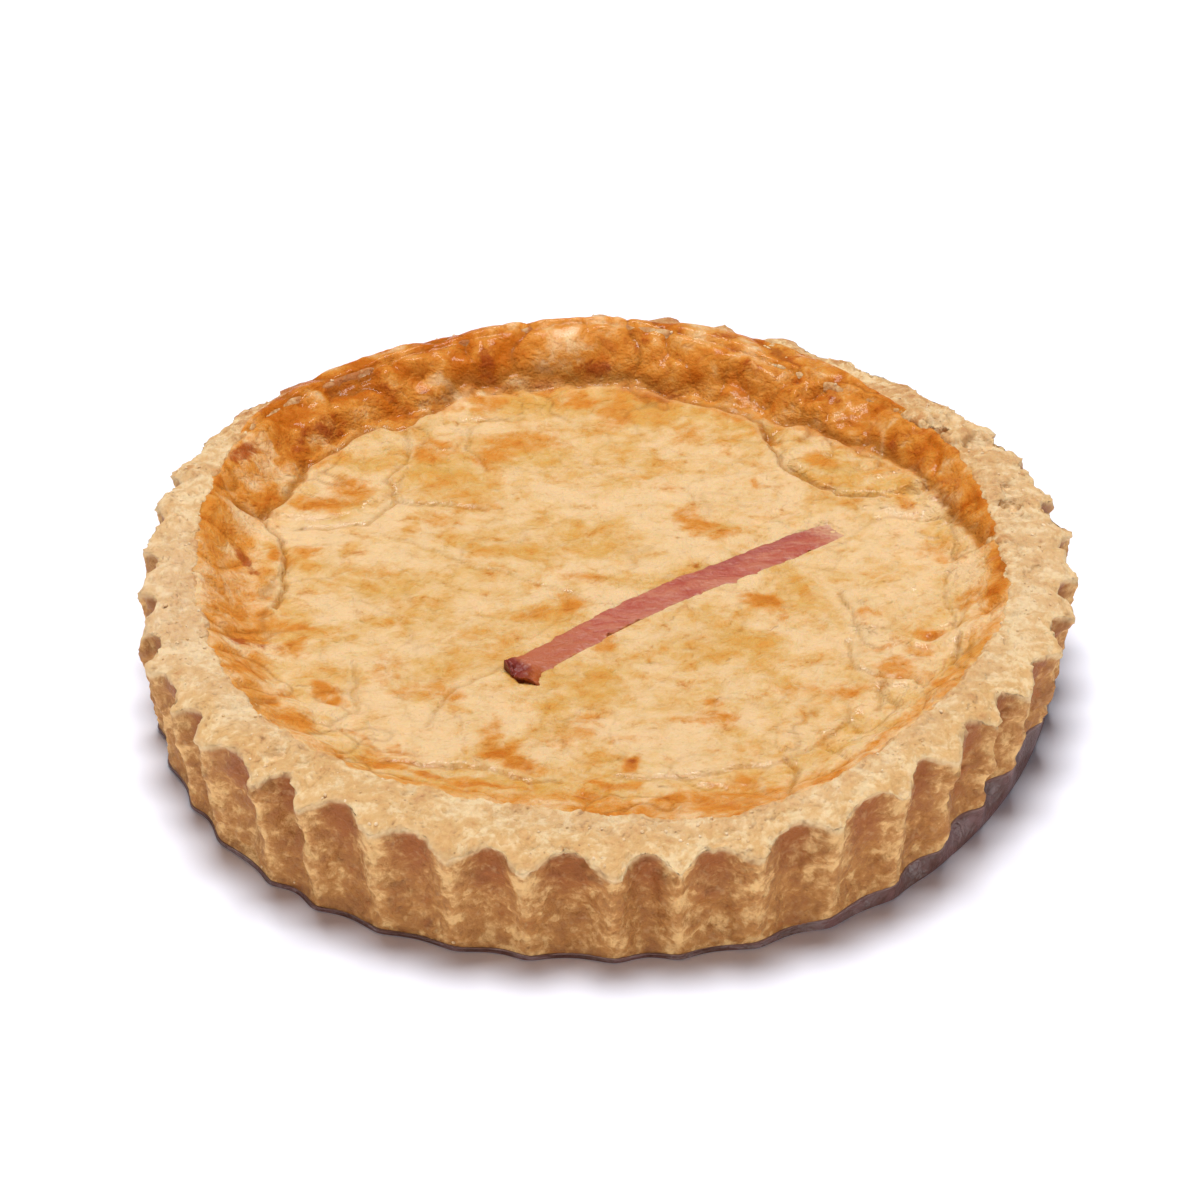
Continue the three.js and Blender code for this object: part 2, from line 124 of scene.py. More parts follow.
# Where the oven has coloured the filling, inwards from its edge: (degrees, width, strength).
BROWNING = (
    (-180, 17, 0.62), (-165, 16, 0.6), (-152, 12, 0.5), (-140, 10, 0.42), (-125, 8, 0.4), (-105, 10, 0.42),
    (-90, 13, 0.55), (-78, 18, 0.7), (-65, 14, 0.6), (-52, 10, 0.5), (-40, 8, 0.36), (-25, 8, 0.4),
    (-12, 9, 0.6), (0, 4, 0.6), (8, 5, 0.8), (16, 7, 0.9), (24, 8, 0.9), (32, 9, 0.95), (45, 12, 0.85),
    (60, 14, 0.76), (76, 15, 0.68), (89, 12, 0.74), (105, 10, 1.0), (117, 14, 1.0), (129, 15, 1.0),
    (142, 14, 0.95), (154, 12, 0.75), (165, 14, 0.66), (180, 17, 0.62),
)

# Toasted patches as (x, y, half length, half width, degrees, strength).
TOASTED = (
    (-73, 42, 9, 4, 10, 0.6), (-66, 48, 6, 6, 0, 0.45), (-45, 66, 6, 5, 0, 0.35), (-33, 90, 6, 5, 80, 0.5),
    (-28, 66, 9, 6, 30, 0.35), (-18, 71, 11, 6, 0, 0.35), (-9, 91, 7, 5, 0, 0.5), (-33, 61, 5, 3, -50, 0.5),
    (-84, 15, 5, 4, 90, 0.5), (-76, 20, 5, 4, 0, 0.3), (-89, 42, 9, 6, 80, 0.65), (-6, 5, 7, 3, 0, 0.4),
    (-40, 35, 14, 8, 40, 0.12), (22, 31, 7, 5, 100, 0.5), (29, 25, 5, 3, 0, 0.4), (23, 23, 3, 2, 0, 0.3),
    (3, 86, 12, 6, 90, 0.4), (18, 93, 7, 3, -25, 0.6), (33, 83, 10, 3, -35, 0.5),
    (43, 70, 8, 2.5, -75, 0.5), (40, 48, 4, 1.5, -70, 0.4), (57, 57, 7, 4, -60, 0.4),
    (78, 36, 6, 4, -60, 0.35), (22, 72, 7, 5, 0, 0.2), (82, 14, 6, 4, 30, 0.35), (84, 9, 6, 3, 0, 0.4),
    (72, 52, 8, 6, 0, 0.25), (14, 48, 6, 4, 90, 0.2), (-92, -8, 12, 7, 90, 0.5),
    (-77, -13.5, 6, 1.6, 0, 0.5), (-84, -12, 6, 5, 0, 0.4), (-77, -22, 5, 5, 0, 0.4),
    (-88, -36, 9, 4, 90, 0.6), (-69, -42, 7, 4, -55, 0.62), (-66, -45, 4, 3, 0, 0.3),
    (-80, -47, 6, 3, 70, 0.5), (-75, -57, 6, 4, 0, 0.6), (-60, -60, 7, 2, -42, 0.5),
    (-50, -65, 4, 3, -30, 0.5), (-52, -74, 6, 4, 0, 0.6), (-55, -67, 5, 3, -50, 0.4),
    (-44, -71, 6, 1.5, 0, 0.4), (-42, -77, 11, 2, -8, 0.5), (-26, -68, 6, 4, 40, 0.6),
    (-22, -73, 8, 3, -20, 0.5), (-30, -81, 12, 2, -8, 0.5), (-44, -42, 8, 5, 10, 0.25),
    (-38, -44, 4, 3, 20, 0.4), (-53, -32, 7, 3, 85, 0.25), (-27, -57, 7, 3, 80, 0.3),
    (-12, -61, 6, 4, 20, 0.25), (-3, -88, 6, 4, 0, 0.5), (-8, -6, 4, 4, 0, 0.35), (-18, -9, 6, 4, 30, 0.25),
    (-5, -57, 5, 5, 0, 0.25), (0, -81, 9, 1.5, 0, 0.5), (38, -6, 6, 5, -40, 0.65), (34, -2, 3, 2, 0, 0.4),
    (43, -12, 3, 1.6, 80, 0.4), (0, -23, 5, 3, 70, 0.4), (24, -55, 9, 3, -10, 0.5), (25, -48, 3, 3, 0, 0.4),
    (6, -73, 4, 3, 50, 0.62), (5, -64, 6, 2, -20, 0.3), (70, -38, 8, 6, 40, 0.45), (78, -24, 4, 3, 0, 0.6),
    (76, -34, 5, 3, 80, 0.4), (63, -15, 4, 3, 0, 0.3), (66, -28, 4, 2, 0, 0.35),
    (95, -16, 10, 3.5, 92, 0.7), (89, -12, 5, 4, 0, 0.5), (79, -56, 10, 3.5, 95, 0.5),
    (74, -43, 6, 3, -20, 0.4), (58, -45, 6, 3, -10, 0.35), (46, -44, 6, 5, 0, 0.2),
    (63, -76, 8, 3, 95, 0.5), (25, -88, 20, 6, 0, 0.55), (10, -92, 11, 5, -10, 0.5),
    (30, -81, 8, 3, 0, 0.4), (58, -84, 8, 3, 35, 0.5), (47, -92, 8, 3, 20, 0.5), (60, 24, 4, 4, 0, 0.05),
    (-60, 10, 12, 9, 0, 0.08), (-30, -20, 10, 8, 0, 0.1),
)

# Where the filling is yellow and glossy, the same way.
YOLKY = (
    (-16, 87, 17, 5, 0, 1.0), (12, 84, 12, 4, -10, 0.8), (-40, 60, 14, 7, 20, 0.8),
    (-62, 60, 12, 6, 40, 0.8), (-20, 62, 20, 7, 5, 0.6), (60, 55, 14, 6, -45, 0.9),
    (76, 40, 12, 6, -60, 0.8), (-70, 36, 14, 6, 30, 0.5), (-50, 5, 18, 8, 10, 0.4),
    (86, -5, 12, 5, 85, 0.8), (84, -40, 12, 6, 80, 0.8),
)

# How far the browned cheese has run out over the rim, as (degrees, mm).
SPILL = ((34, 0), (42, 2), (50, 5), (60, 9.5), (70, 11), (95, 10.5), (124, 10), (134, 5), (148, 1), (158, 0))

# Scorched spots, the same way.
SCORCHED = (
    (-92, 14, 6, 2, -60, 0.75), (-89.5, 9.5, 2.5, 1.6, -60, 0.6), (-91, -24, 3.5, 3, 90, 0.75),
    (-84, -23, 7, 2, 8, 0.5), (-94, 54, 8, 2.4, 58, 0.8), (-76, 72, 12, 2.6, 42, 0.55),
    (-58, 92, 9, 4, -10, 0.35), (-31, 101, 5, 3, -60, 0.65), (-1, 101, 7, 1.6, -5, 0.75),
    (9, 107, 5, 2.4, -20, 0.5), (33, 105, 4, 2, 0, 0.5), (41, 95, 4, 3, 0, 0.4), (62, 83, 5, 2.6, 100, 0.6),
    (50, 99, 8, 2, -15, 0.3), (79, 58, 7, 2.4, -52, 0.5), (88, 31, 7, 2, -62, 0.5),
    (93, 38, 6, 2, -65, 0.45), (6, -72, 1.6, 1.6, 0, 0.35), (78, -23, 2.4, 1.6, 0, 0.35),
    (-47, 86, 8, 3, 40, 0.3), (19, 94, 6, 1.6, -25, 0.3),
)

# Chips and hollows in the pastry's rim, as (x, y, radius, depth).
CHIPS = (
    (91, -64, 2.2, 2.4), (102, 27, 2.6, 1.8), (102.5, 19, 3.2, 2.4), (87, 58, 3, 2.6), (97, 50, 5, 1.4),
    (-76, -80, 3.4, 1.2), (66, -96, 3, 1), (-103, -22, 3, 0.8), (105, -10, 3, 0.9), (81, -80, 2.4, 1.4),
)

# How browned the rim is, as (degrees, share), and where it is floury, as patches over (degrees, tenths
# of the way in from its outer edge).
RIM_BROWNING = (
    (-180, 0), (-20, 0), (20, 0.05), (40, 0.15), (60, 0.35), (88, 0.5), (97, 0.85), (130, 0.9), (139, 0.5),
    (150, 0.1), (180, 0),
)
FLOUR = (
    (-172, 5, 22, 7, 0, 1.0), (188, 5, 22, 7, 0, 1.0), (-150, 7, 20, 4, 0, 0.7), (0, 5, 30, 5, 0, 0.6),
    (30, 3, 22, 4, 0, 0.5), (-60, 7, 60, 3, 0, 0.5), (160, 4, 20, 5, 0, 0.5),
)

# Where the rim is most broken, as patches.
BROKEN_RIM = ((88, 58, 17, 9, -55, 1.0), (102, 22, 12, 6, -75, 0.6))

COLUMNS_PER_FLUTE = 26
WALL_ROWS = 44
RIM_ROWS = 34
GRID_CELLS = 310  # cells across the filling
NOISE_VALUES = 8192
NOISE_PRIMES = (7919, 104729, 1299709)

HAM_CENTRE = (19.7, -4.6)  # mm, about the pie's axis
HAM_BOW, HAM_BOW_START, HAM_BOW_LENGTH = 2.1, 13, 140  # the strip's slight S: size, shift and wave, mm
STREAK_TURN = math.radians(36)  # the way the melted cheese is streaked, from +X
CHEESE_OVER_RIM = 1.8 * MM  # thickness of the cheese that has run over the rim
CRUST_FLOOR = 6 * MM  # top of the hidden floor under the filling

NOISE, RANGE = "ShaderNodeTexNoise", "ShaderNodeMapRange"


# ---- Helpers -----------------------------------------------------------------------------------

def linear(hex_colour):
    """An sRGB hex colour such as "#E8C48A" as Blender's linear colour with alpha."""
    parts = [int(hex_colour[i : i + 2], 16) / 255 for i in (1, 3, 5)]
    return (*(c / 12.92 if c <= 0.04045 else ((c + 0.055) / 1.055) ** 2.4 for c in parts), 1.0)


def add_node(tree, kind, values=(), **settings):
    """Adds a node of a kind, or a Math node for an operation in capitals. values are its inputs in
    order, or by name: numbers, or nodes and sockets to link."""
    if kind.isupper():
        kind, settings = "ShaderNodeMath", {"operation": kind, **settings}
    made = tree.nodes.new(kind)
    for name, value in settings.items():
        setattr(made, name, value)
    for key, value in values.items() if isinstance(values, dict) else enumerate(values):
        if value is None:
            continue
        if isinstance(value, bpy.types.Node):
            value = next(out for out in value.outputs if out.enabled)
        if isinstance(value, bpy.types.NodeSocket):
            tree.links.new(value, made.inputs[key])
        else:
            made.inputs[key].default_value = value
    return made


def waves(entries, angle):
    """The sum of slow waves round the pie, each (lobes, size, degrees of its first peak)."""
    return sum(size * np.cos(lobes * angle - math.radians(turn)) for lobes, size, turn in entries)


def soft_step(value, low, high):
    """0 below low, 1 above high, smooth between them."""
    share = np.clip((value - low) / (high - low), 0, 1)
    return share * share * (3 - 2 * share)


def soft_noise(points, size, seed):
    """Smooth random values from -1 to 1 that change over size; points has a row for each point."""
    table = np.random.default_rng(seed).uniform(-1, 1, NOISE_VALUES)
    cell = np.floor(points / size).astype(np.int64)
    part = points / size - cell
    part = part * part * (3 - 2 * part)
    total = np.zeros(len(points))
    for corner in itertools.product((0, 1), repeat=points.shape[1]):
        key = sum((cell[:, k] + step) * prime for k, (step, prime) in enumerate(zip(corner, NOISE_PRIMES)))
        total += np.prod(np.where(corner, part, 1 - part), axis=1) * table[key % len(table)]
    return total


def rough_noise(points, size, seed, octaves=4):
    """Soft noise at several sizes; each finer one is half as strong and turned a little."""
    total, strength = 0, 1
    for octave in range(octaves):
        total = total + strength * soft_noise(points, size / 2**octave, seed + octave)
        points = np.column_stack((points[:, 0] * 0.8 - points[:, 1] * 0.6,
                                  points[:, 0] * 0.6 + points[:, 1] * 0.8, *points.T[2:]))
        strength *= 0.5
    return total


def patches(x, y, table):
    """The strength at x, y of soft oval patches, in mm, of which the strongest counts."""
    strongest = np.zeros_like(x)
    for at_x, at_y, long, short, turn, strength in table:
        c, s = math.cos(math.radians(turn)), math.sin(math.radians(turn))
        along = ((x - at_x) * c + (y - at_y) * s) / long
        across = ((y - at_y) * c - (x - at_x) * s) / short
        strongest = np.maximum(strongest, strength * (1 - soft_step(np.hypot(along, across), 0.35, 1.35)))
    return strongest


def line_distance(x, y, line):
    """Distance from each point to a line of points; below zero on its right side."""
    nearest = np.full_like(x, np.inf)
    side = np.ones_like(x)
    for (x0, y0), (x1, y1) in zip(line, line[1:]):
        run_x, run_y = x1 - x0, y1 - y0
        share = np.clip(((x - x0) * run_x + (y - y0) * run_y) / (run_x**2 + run_y**2), 0, 1)
        off_x, off_y = x - x0 - share * run_x, y - y0 - share * run_y
        away = np.hypot(off_x, off_y)
        closer = away < nearest
        nearest = np.where(closer, away, nearest)
        side = np.where(closer, np.sign(run_x * off_y - run_y * off_x), side)
    return nearest, side


def round_rings(profile, angle):
    """Rings of points round the pie's axis, one for each (radius, height) of the profile."""
    return np.stack([
        np.column_stack((radius * np.cos(angle) + PIE_AXIS[0], radius * np.sin(angle) + PIE_AXIS[1],
                         np.broadcast_to(height, angle.shape)))
        for radius, height in profile])


def ring_mesh(name, low_pole, rings, high_pole):
    """A closed mesh over rings of points, an array of rows by columns by 3, with a pole at both ends."""
    rows, columns, _ = rings.shape
    points = np.vstack((low_pole, rings.reshape(-1, 3), high_pole))
    column = np.arange(columns)
    after = (column + 1) % columns
    start = 1 + np.arange(rows - 1)[:, None] * columns
    quads = np.stack((start + column, start + after, start + columns + after, start + columns + column), -1)
    last = 1 + (rows - 1) * columns
    faces = quads.reshape(-1, 4).tolist()
    faces += np.column_stack((np.zeros_like(column), 1 + after, 1 + column)).tolist()
    faces += np.column_stack((last + column, last + after, np.full_like(column, len(points) - 1))).tolist()
    return mesh_object(name, points, faces)


def mesh_object(name, points, faces):
    """A smooth-shaded mesh object in the scene."""
    mesh = bpy.data.meshes.new(name)
    mesh.from_pydata(points.tolist(), [], faces)
    mesh.shade_smooth()
    made = bpy.data.objects.new(name, mesh)
    bpy.context.scene.collection.objects.link(made)
    return made


def store(obj, **values):
    """Keeps a number for each point of the mesh, by name, for Geometry Nodes and materials."""
    for name, numbers in values.items():
        obj.data.attributes.new(name, "FLOAT", "POINT").data.foreach_set("value", np.ravel(numbers))


def run_nodes(obj, tree, **inputs):
    """Runs a Geometry Nodes tree on the object and keeps the result as its plain mesh."""
    modifier = obj.modifiers.new(tree.name, "NODES")
    modifier.node_group = tree
    sockets = {item.name: item.identifier for item in tree.interface.items_tree}
    for name, value in inputs.items():
        modifier[sockets[name]] = value
    graph = bpy.context.evaluated_depsgraph_get()
    result = bpy.data.meshes.new_from_object(
        obj.evaluated_get(graph), preserve_all_data_layers=True, depsgraph=graph)
    obj.modifiers.remove(modifier)
    obj.data = result
    obj.data.shade_smooth()


def new_tree(name, sockets):
    """A Geometry Nodes tree with a geometry in and out and these inputs, and what adds its nodes."""
    tree = bpy.data.node_groups.new(name, "GeometryNodeTree")
    tree.interface.new_socket("Geometry", in_out="OUTPUT", socket_type="NodeSocketGeometry")
    tree.interface.new_socket("Geometry", in_out="INPUT", socket_type="NodeSocketGeometry")
    for socket, kind in sockets.items():
        tree.interface.new_socket(socket, in_out="INPUT", socket_type=kind)
    return tree, partial(add_node, tree)


def new_material(name):
    """An empty material, and what adds its nodes."""
    made = bpy.data.materials.new(name)
    made.use_nodes = True
    made.node_tree.nodes.clear()
    return made, partial(add_node, made.node_tree)


def finish_piece(obj, material, slot, *nodes):
    """Gives the piece its material and body, and lets it stand for the frame's nodes."""
    if not obj.data.materials:
        obj.data.materials.append(material)
    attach(obj, "root")
    if nodes:
        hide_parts(*nodes)


# ---- The pie's shape ---------------------------------------------------------------------------

def rim_height(pie, angle):
    """Height of the rim's inner line."""
    return pie.rim_height + MM * waves(RIM_WAVES, angle)


def inner_edge(pie, angle):
    """Radius where the pastry meets the filling."""
    return pie.inner_edge + MM * waves(INNER_WAVES, angle)


def foot_shift(angle):
    """How far the foot stands out there; below zero it stands in."""
    return MM * np.interp(np.degrees(np.arctan2(np.sin(angle), np.cos(angle))), *np.array(FOOT_SHIFT).T)


def crest_radius(pie, angle, height):
    """Radius of the flutes' crests at a height on the wall."""
    up = height / pie.rim_height
    slant = pie.foot_radius + (pie.crest_radius - pie.foot_radius) * up
    unevenness = MM * waves(OUTLINE_WAVES, angle) * (FOOT_SHARE + (1 - FOOT_SHARE) * up)
    return slant + unevenness + foot_shift(angle) * (1 - up)


def first_crest(pie):
    """Angle of the crest at the back, where the flutes are counted from."""
    return math.radians(pie.first_crest)


def lean(angle):
    """How far a flute is out of step with even ones, in radians of its wave."""
    return math.pi * waves(LEAN_WAVES, angle)


def valley_share(pie, angle):
    """0 on a flute's crest, 1 in its valley."""
    wave = np.sin((angle - first_crest(pie)) * pie.flute_count / 2 + lean(angle))
    soft = pie.crest_softness
    return (np.hypot(wave, soft) - soft) / (math.hypot(1, soft) - soft)


def filling_shape(pie, x, y):
    """Height of the filling, share of the way up its slope, and how much the back bulges there."""
    angle, radius = np.arctan2(y, x), np.hypot(x, y)
    degrees = (np.degrees(angle) + 90) % 360 - 90
    back = soft_step(degrees, *BACK_BEGINS) * (1 - soft_step(degrees, *BACK_ENDS))
    slope = MM * (21 - 8.5 * soft_step(np.sin(angle), -0.9, 0.1))
    up = np.clip(1 - (inner_edge(pie, angle) - radius) / slope, 0, 1)
    full, hollow = 1 - (1 - up) ** 1.7, up**1.5
    low = 1.4 * MM * soft_step(-np.sin(angle), 0.2, 0.8)
    rise = (rim_height(pie, angle) - 0.8 * MM - low - pie.filling_level) * (hollow + (full - hollow) * back)
    x_mm, y_mm = x / MM, y / MM
    ripple = 0.35 * np.sin(x_mm / 13 + 0.6) * np.cos(y_mm / 17 - 0.4) * (1 - up)
    swelling = sum(
        size * np.cos(lobes * angle - math.radians(turn)) * np.cos(radius / MM / length * 2 * math.pi)
        for lobes, size, turn, length in EDGE_SWELLINGS)
    swelling = swelling * np.sin(math.pi * up) * (0.5 + 0.8 * back)
    flaps = 0
    for at_x, at_y, reach, step in CHEESE_FLAPS:
        inside = reach - np.hypot(x_mm - at_x, y_mm - at_y)
        flaps = flaps + step * soft_step(inside, 0, 2.5) * np.exp(-np.maximum(inside, 0) / 16)
    return pie.filling_level + rise + MM * (ripple + swelling + flaps * (1 - up**4)), up, back


def liner_lip(liner, angle):
    """How high the liner stands there: highest on the right, a little towards the front."""
    away = (angle - LINER_PEAK + math.pi) % (2 * math.pi) - math.pi
    spread = np.minimum(np.abs(away) * 1.15, math.pi / 2)
    return liner.low_lip + (liner.high_lip - liner.low_lip) * np.cos(spread) ** 3.2


def ham_bow(along):
    """How far the strip's middle line bends to the left, in mm."""
    return HAM_BOW * np.cos((along + HAM_BOW_START) / HAM_BOW_LENGTH * 2 * math.pi)


def ham_spot(along, aside, ham):
    """The point, in mm about the pie's axis, at this place along and across the strip of ham."""
    c, s = math.cos(math.radians(ham.heading)), math.sin(math.radians(ham.heading))
    aside = aside + ham_bow(along)
    return HAM_CENTRE[0] + c * along - s * aside, HAM_CENTRE[1] + s * along + c * aside


def ham_lane(x, y, ham):
    """How far along and across the strip of ham each point is, all in mm."""
    c, s = math.cos(math.radians(ham.heading)), math.sin(math.radians(ham.heading))
    x, y = x - HAM_CENTRE[0], y - HAM_CENTRE[1]
    along = x * c + y * s
    return along, y * c - x * s - ham_bow(along)


# ---- Settings ----------------------------------------------------------------------------------

def metres(name, description, default):
    """A setting that is a length."""
    return FloatProperty(name=name, description=description, default=default, unit="LENGTH")


def colour(name, description, default):
    """A setting that is a colour, from its sRGB hex value."""
    return FloatVectorProperty(
        name=name, description=description, default=linear(default), subtype="COLOR", size=4)


class PieShape(bpy.types.PropertyGroup):
    crest_radius: metres("Crest radius", "Flute crests at the rim", 0.120)
    foot_radius: metres("Foot radius", "Flute crests at the foot", 0.1152)
    rim_height: metres("Rim height", "Table to the rim's highest line", 0.034)
    inner_edge: metres("Inner edge", "Radius where pastry meets filling", 0.1042)
    filling_level: metres("Filling level", "Height of the flat middle", 0.0236)
    dome_start: metres("Dome start", "Radius where the rim begins to fall away", 0.106)
    crest_fall: metres("Crest fall", "Fall of the rim at a crest's tip", 0.0047)
    flute_count: IntProperty(name="Flutes", description="Number of flutes in the wall", default=42)
    flute_depth: metres("Flute depth", "Crest to valley", 0.005)
    crest_softness: FloatProperty(
        name="Crest softness", description="0 is a knife edge, 1 a plain wave", default=0.35)
    first_crest: FloatProperty(
        name="First crest", description="Degrees to the crest at the back", default=89.6)


class CrustLook(bpy.types.PropertyGroup):
    pale: colour("Pale pastry", "Dry top of the rim", "#E8CA9B")
    golden: colour("Golden pastry", "Fatty top of the rim", "#D6A86C")
    wall: colour("Pastry wall", "Against the tin", "#B2783C")
    # The valleys' colour: partly baked brown, partly painted shade.
    browned: colour("Browned pastry", "Valleys", "#9A5826")
    relief: FloatProperty(name="Relief", description="Strength of lumps and crumb", default=1.0)
    crumb_count: IntProperty(name="Crumbs", description="Loose crumbs on the rim", default=260)
    crumb_size: metres("Crumb size", "Across an average crumb", 0.0007)


class FillingLook(bpy.types.PropertyGroup):
    cheese: colour("Pale cheese", "Flat middle", "#EBC694")
    yolk: colour("Yellow cheese", "Between the pale clouds", "#D8A656")
    toasted: colour("Toasted cheese", "Patches", "#D68A34")
    browned: colour("Browned cheese", "Back edge", "#BE6412")
    scorched: colour("Scorched cheese", "Dark spots", "#A04618")


class HamLook(bpy.types.PropertyGroup):
    length: metres("Length", "Of the strip", 0.107)
    width: metres("Width", "Of the strip", 0.0106)
    proud: metres("Proud", "How far its top stands above the cheese", 0.0002)
    heading: FloatProperty(name="Heading", description="Degrees from +X", default=38.3)
    meat: colour("Ham", "Its meat", "#AE4F3A")


class LinerLook(bpy.types.PropertyGroup):
    thickness: metres("Thickness", "Of the paper", 0.00025)
    low_lip: metres("Low lip", "Height at the left", 0.0008)
    high_lip: metres("High lip", "Height at the right", 0.0096)
    paper: colour("Paper", "Greasy paper", "#54352B")


class StageLook(bpy.types.PropertyGroup):
    key: FloatProperty(name="Key light", description="Soft light overhead", default=58.0, unit="POWER")
    fill: FloatProperty(
        name="Fill light", description="Low wide light from the front", default=11.5, unit="POWER")
    side: FloatProperty(name="Side lights", description="Low light from each side", default=3.6, unit="POWER")
    sky: FloatProperty(name="Room light", description="Strength of the white room", default=0.1)


SETTINGS = {
    "pie_shape": PieShape, "pie_crust": CrustLook, "pie_filling": FillingLook,
    "pie_ham": HamLook, "pie_liner": LinerLook, "pie_stage": StageLook,
}


# ---- Pastry crust ------------------------------------------------------------------------------

def shortcrust(look):
    """Shortcrust pastry, baked in a fluted tin: dull and crumbly, pale and floury on top, golden where
    the tin touched it, darker towards its foot, and browner in the valleys, partly from baking and partly
    as painted shade under the rim; with pale butter flecks, a painted highlight on the crests and the
    rim's lips, and painted shade in the pores, pits, cracks and the hollows between crumbs."""
    material, add = new_material("Shortcrust pastry")
    place = add("ShaderNodeTexCoord").outputs["Object"]
    stored = {name: add("ShaderNodeAttribute", attribute_name=name).outputs["Fac"]
              for name in ("brown", "wall", "pit", "crack", "raised", "flour", "edge_toast", "low", "lip",
                           "ridge")}
    # Grains of 1.2 mm, each a shade of its own; crumb of 1 mm, mottling of 4 mm, patches of 18 mm.
    grains = add("ShaderNodeTexVoronoi", {"Vector": place, "Scale": 850.0, "Randomness": 1.0})
    grain = add("ShaderNodeSeparateColor", (grains.outputs["Color"],))
    crumb = add(NOISE, {"Vector": place, "Scale": 1000.0, "Detail": 4.0, "Roughness": 0.6})
    mottle = add(NOISE,
                 {"Vector": place, "Scale": 230.0, "Detail": 6.0, "Roughness": 0.62, "Distortion": 0.3})
    broad = add(NOISE, {"Vector": place, "Scale": 56.0, "Detail": 3.0})
    # One tone for the dough: 0 pale and dry, 1 golden and fatty. High crumbs are paler and the hollows
    # between them darker, as painted shade; the flutes' crests are paler, as a painted highlight.
    tone = add("MULTIPLY_ADD", (mottle, 3.5, -2.2))
    for source, weight in ((broad, 1.7), (stored["raised"], -0.5), (grain.outputs["Red"], 0.3),
                           (crumb, 0.9), (stored["ridge"], -0.45)):
        tone = add("MULTIPLY_ADD", (source, weight, tone))
    golden = add(RANGE, (tone, 0.2, 1.15), interpolation_type="SMOOTHSTEP")
    rim = add("ShaderNodeMix", {0: golden, 6: look.pale, 7: look.golden}, data_type="RGBA")
    pressed = add(RANGE, (tone, -0.1, 0.9), interpolation_type="SMOOTHSTEP")
    wall = add("ShaderNodeMix", {0: pressed, 6: linear("#E0B275"), 7: look.wall}, data_type="RGBA")
    deep = add(RANGE, (tone, 0.85, 1.5, 0.0, 0.7))
    wall = add("ShaderNodeMix", {0: deep, 6: wall, 7: linear("#96612C")}, data_type="RGBA")
    # Valleys browner, strongest just under the rim: partly baked brown, partly painted shade under the rim's
    # overhang.
    valley_browning_and_shade = add("MULTIPLY_ADD", (tone, 0.4, -0.2))
    valley_browning_and_shade = add("ADD", (stored["brown"], valley_browning_and_shade))
    valley_browning_and_shade = add(RANGE, (valley_browning_and_shade, 0.05, 1.15), interpolation_type="SMOOTHSTEP")
    wall = add("ShaderNodeMix", {0: valley_browning_and_shade, 6: wall, 7: look.browned}, data_type="RGBA")
    base = add("ShaderNodeMix", {0: stored["wall"], 6: rim, 7: wall}, data_type="RGBA")
    # Flour left on the rim, and the edge beside the filling toasted by fat.
    floury = add("MULTIPLY_ADD", (crumb, 0.9, -0.2))
    floury = add("MULTIPLY", (stored["flour"], floury))
    toast = add("MULTIPLY_ADD", (tone, 0.5, -0.35))
    toast = add("ADD", (stored["edge_toast"], toast))
    toast = add(RANGE, (toast, 0.25, 1.0))
    # Flecks of butter, pale, 2 mm; a painted highlight along the rim's lips; pores, tears and cracks painted
    # dark, as shade.
    fleck = add(NOISE, {"Vector": place, "Scale": 480.0, "Detail": 3.0})
    fleck = add(RANGE, (fleck, 0.57, 0.74, 0.0, 0.3))
    lip_highlight = add("MULTIPLY", (stored["lip"], crumb))
    # Painted shade: pores, pits and cracks are coloured dark.
    opening_shade = add(RANGE, (grains.outputs["Distance"], 0.1, 0.3, 0.6, 0.0))
    seldom = add(RANGE, (grain.outputs["Green"], 0.965, 0.985))
    opening_shade = add("MULTIPLY", (opening_shade, seldom))
    pit_shade = add("MULTIPLY", (stored["pit"], 0.3))
    crack_shade = add("MULTIPLY", (stored["crack"], 0.5))
    for opening in (pit_shade, crack_shade):
        opening_shade = add("MAXIMUM", (opening_shade, opening))
    # The wall is darker towards its foot.
    foot_darkening = add("MULTIPLY", (stored["low"], tone))
    foot_darkening = add("MULTIPLY", (foot_darkening, 0.5))
    for share, tint in ((floury, "#E0C5A8"), (toast, "#B3682A"), (fleck, "#DFB880"), (lip_highlight, "#DDBB8A"),
                        (opening_shade, "#7E4A22"), (foot_darkening, "#7B4B24")):
        base = add("ShaderNodeMix", {0: share, 6: base, 7: linear(tint)}, data_type="RGBA")
    fine = add("ShaderNodeBump", {"Strength": 0.8, "Distance": 0.0007, "Height": crumb})
    fine = add("ShaderNodeBump", {
        "Strength": 0.35, "Distance": 0.0003, "Height": grains.outputs["Distance"], "Normal": fine},
        invert=True)
    fine = add("ShaderNodeBump", {"Strength": 0.7, "Distance": 0.0014, "Height": mottle, "Normal": fine})
    shine = add(RANGE, (tone, 0.3, 1.2, 0.85, 0.5))
    skin = add("ShaderNodeBsdfPrincipled", {
        "Base Color": base, "Roughness": shine, "IOR": 1.45, "Normal": fine, "Specular IOR Level": 0.4,
        "Subsurface Weight": 0.1, "Subsurface Radius": (0.0025, 0.0012, 0.0005), "Subsurface Scale": 1.0,
    })
    add("ShaderNodeOutputMaterial", (skin,))
    return material


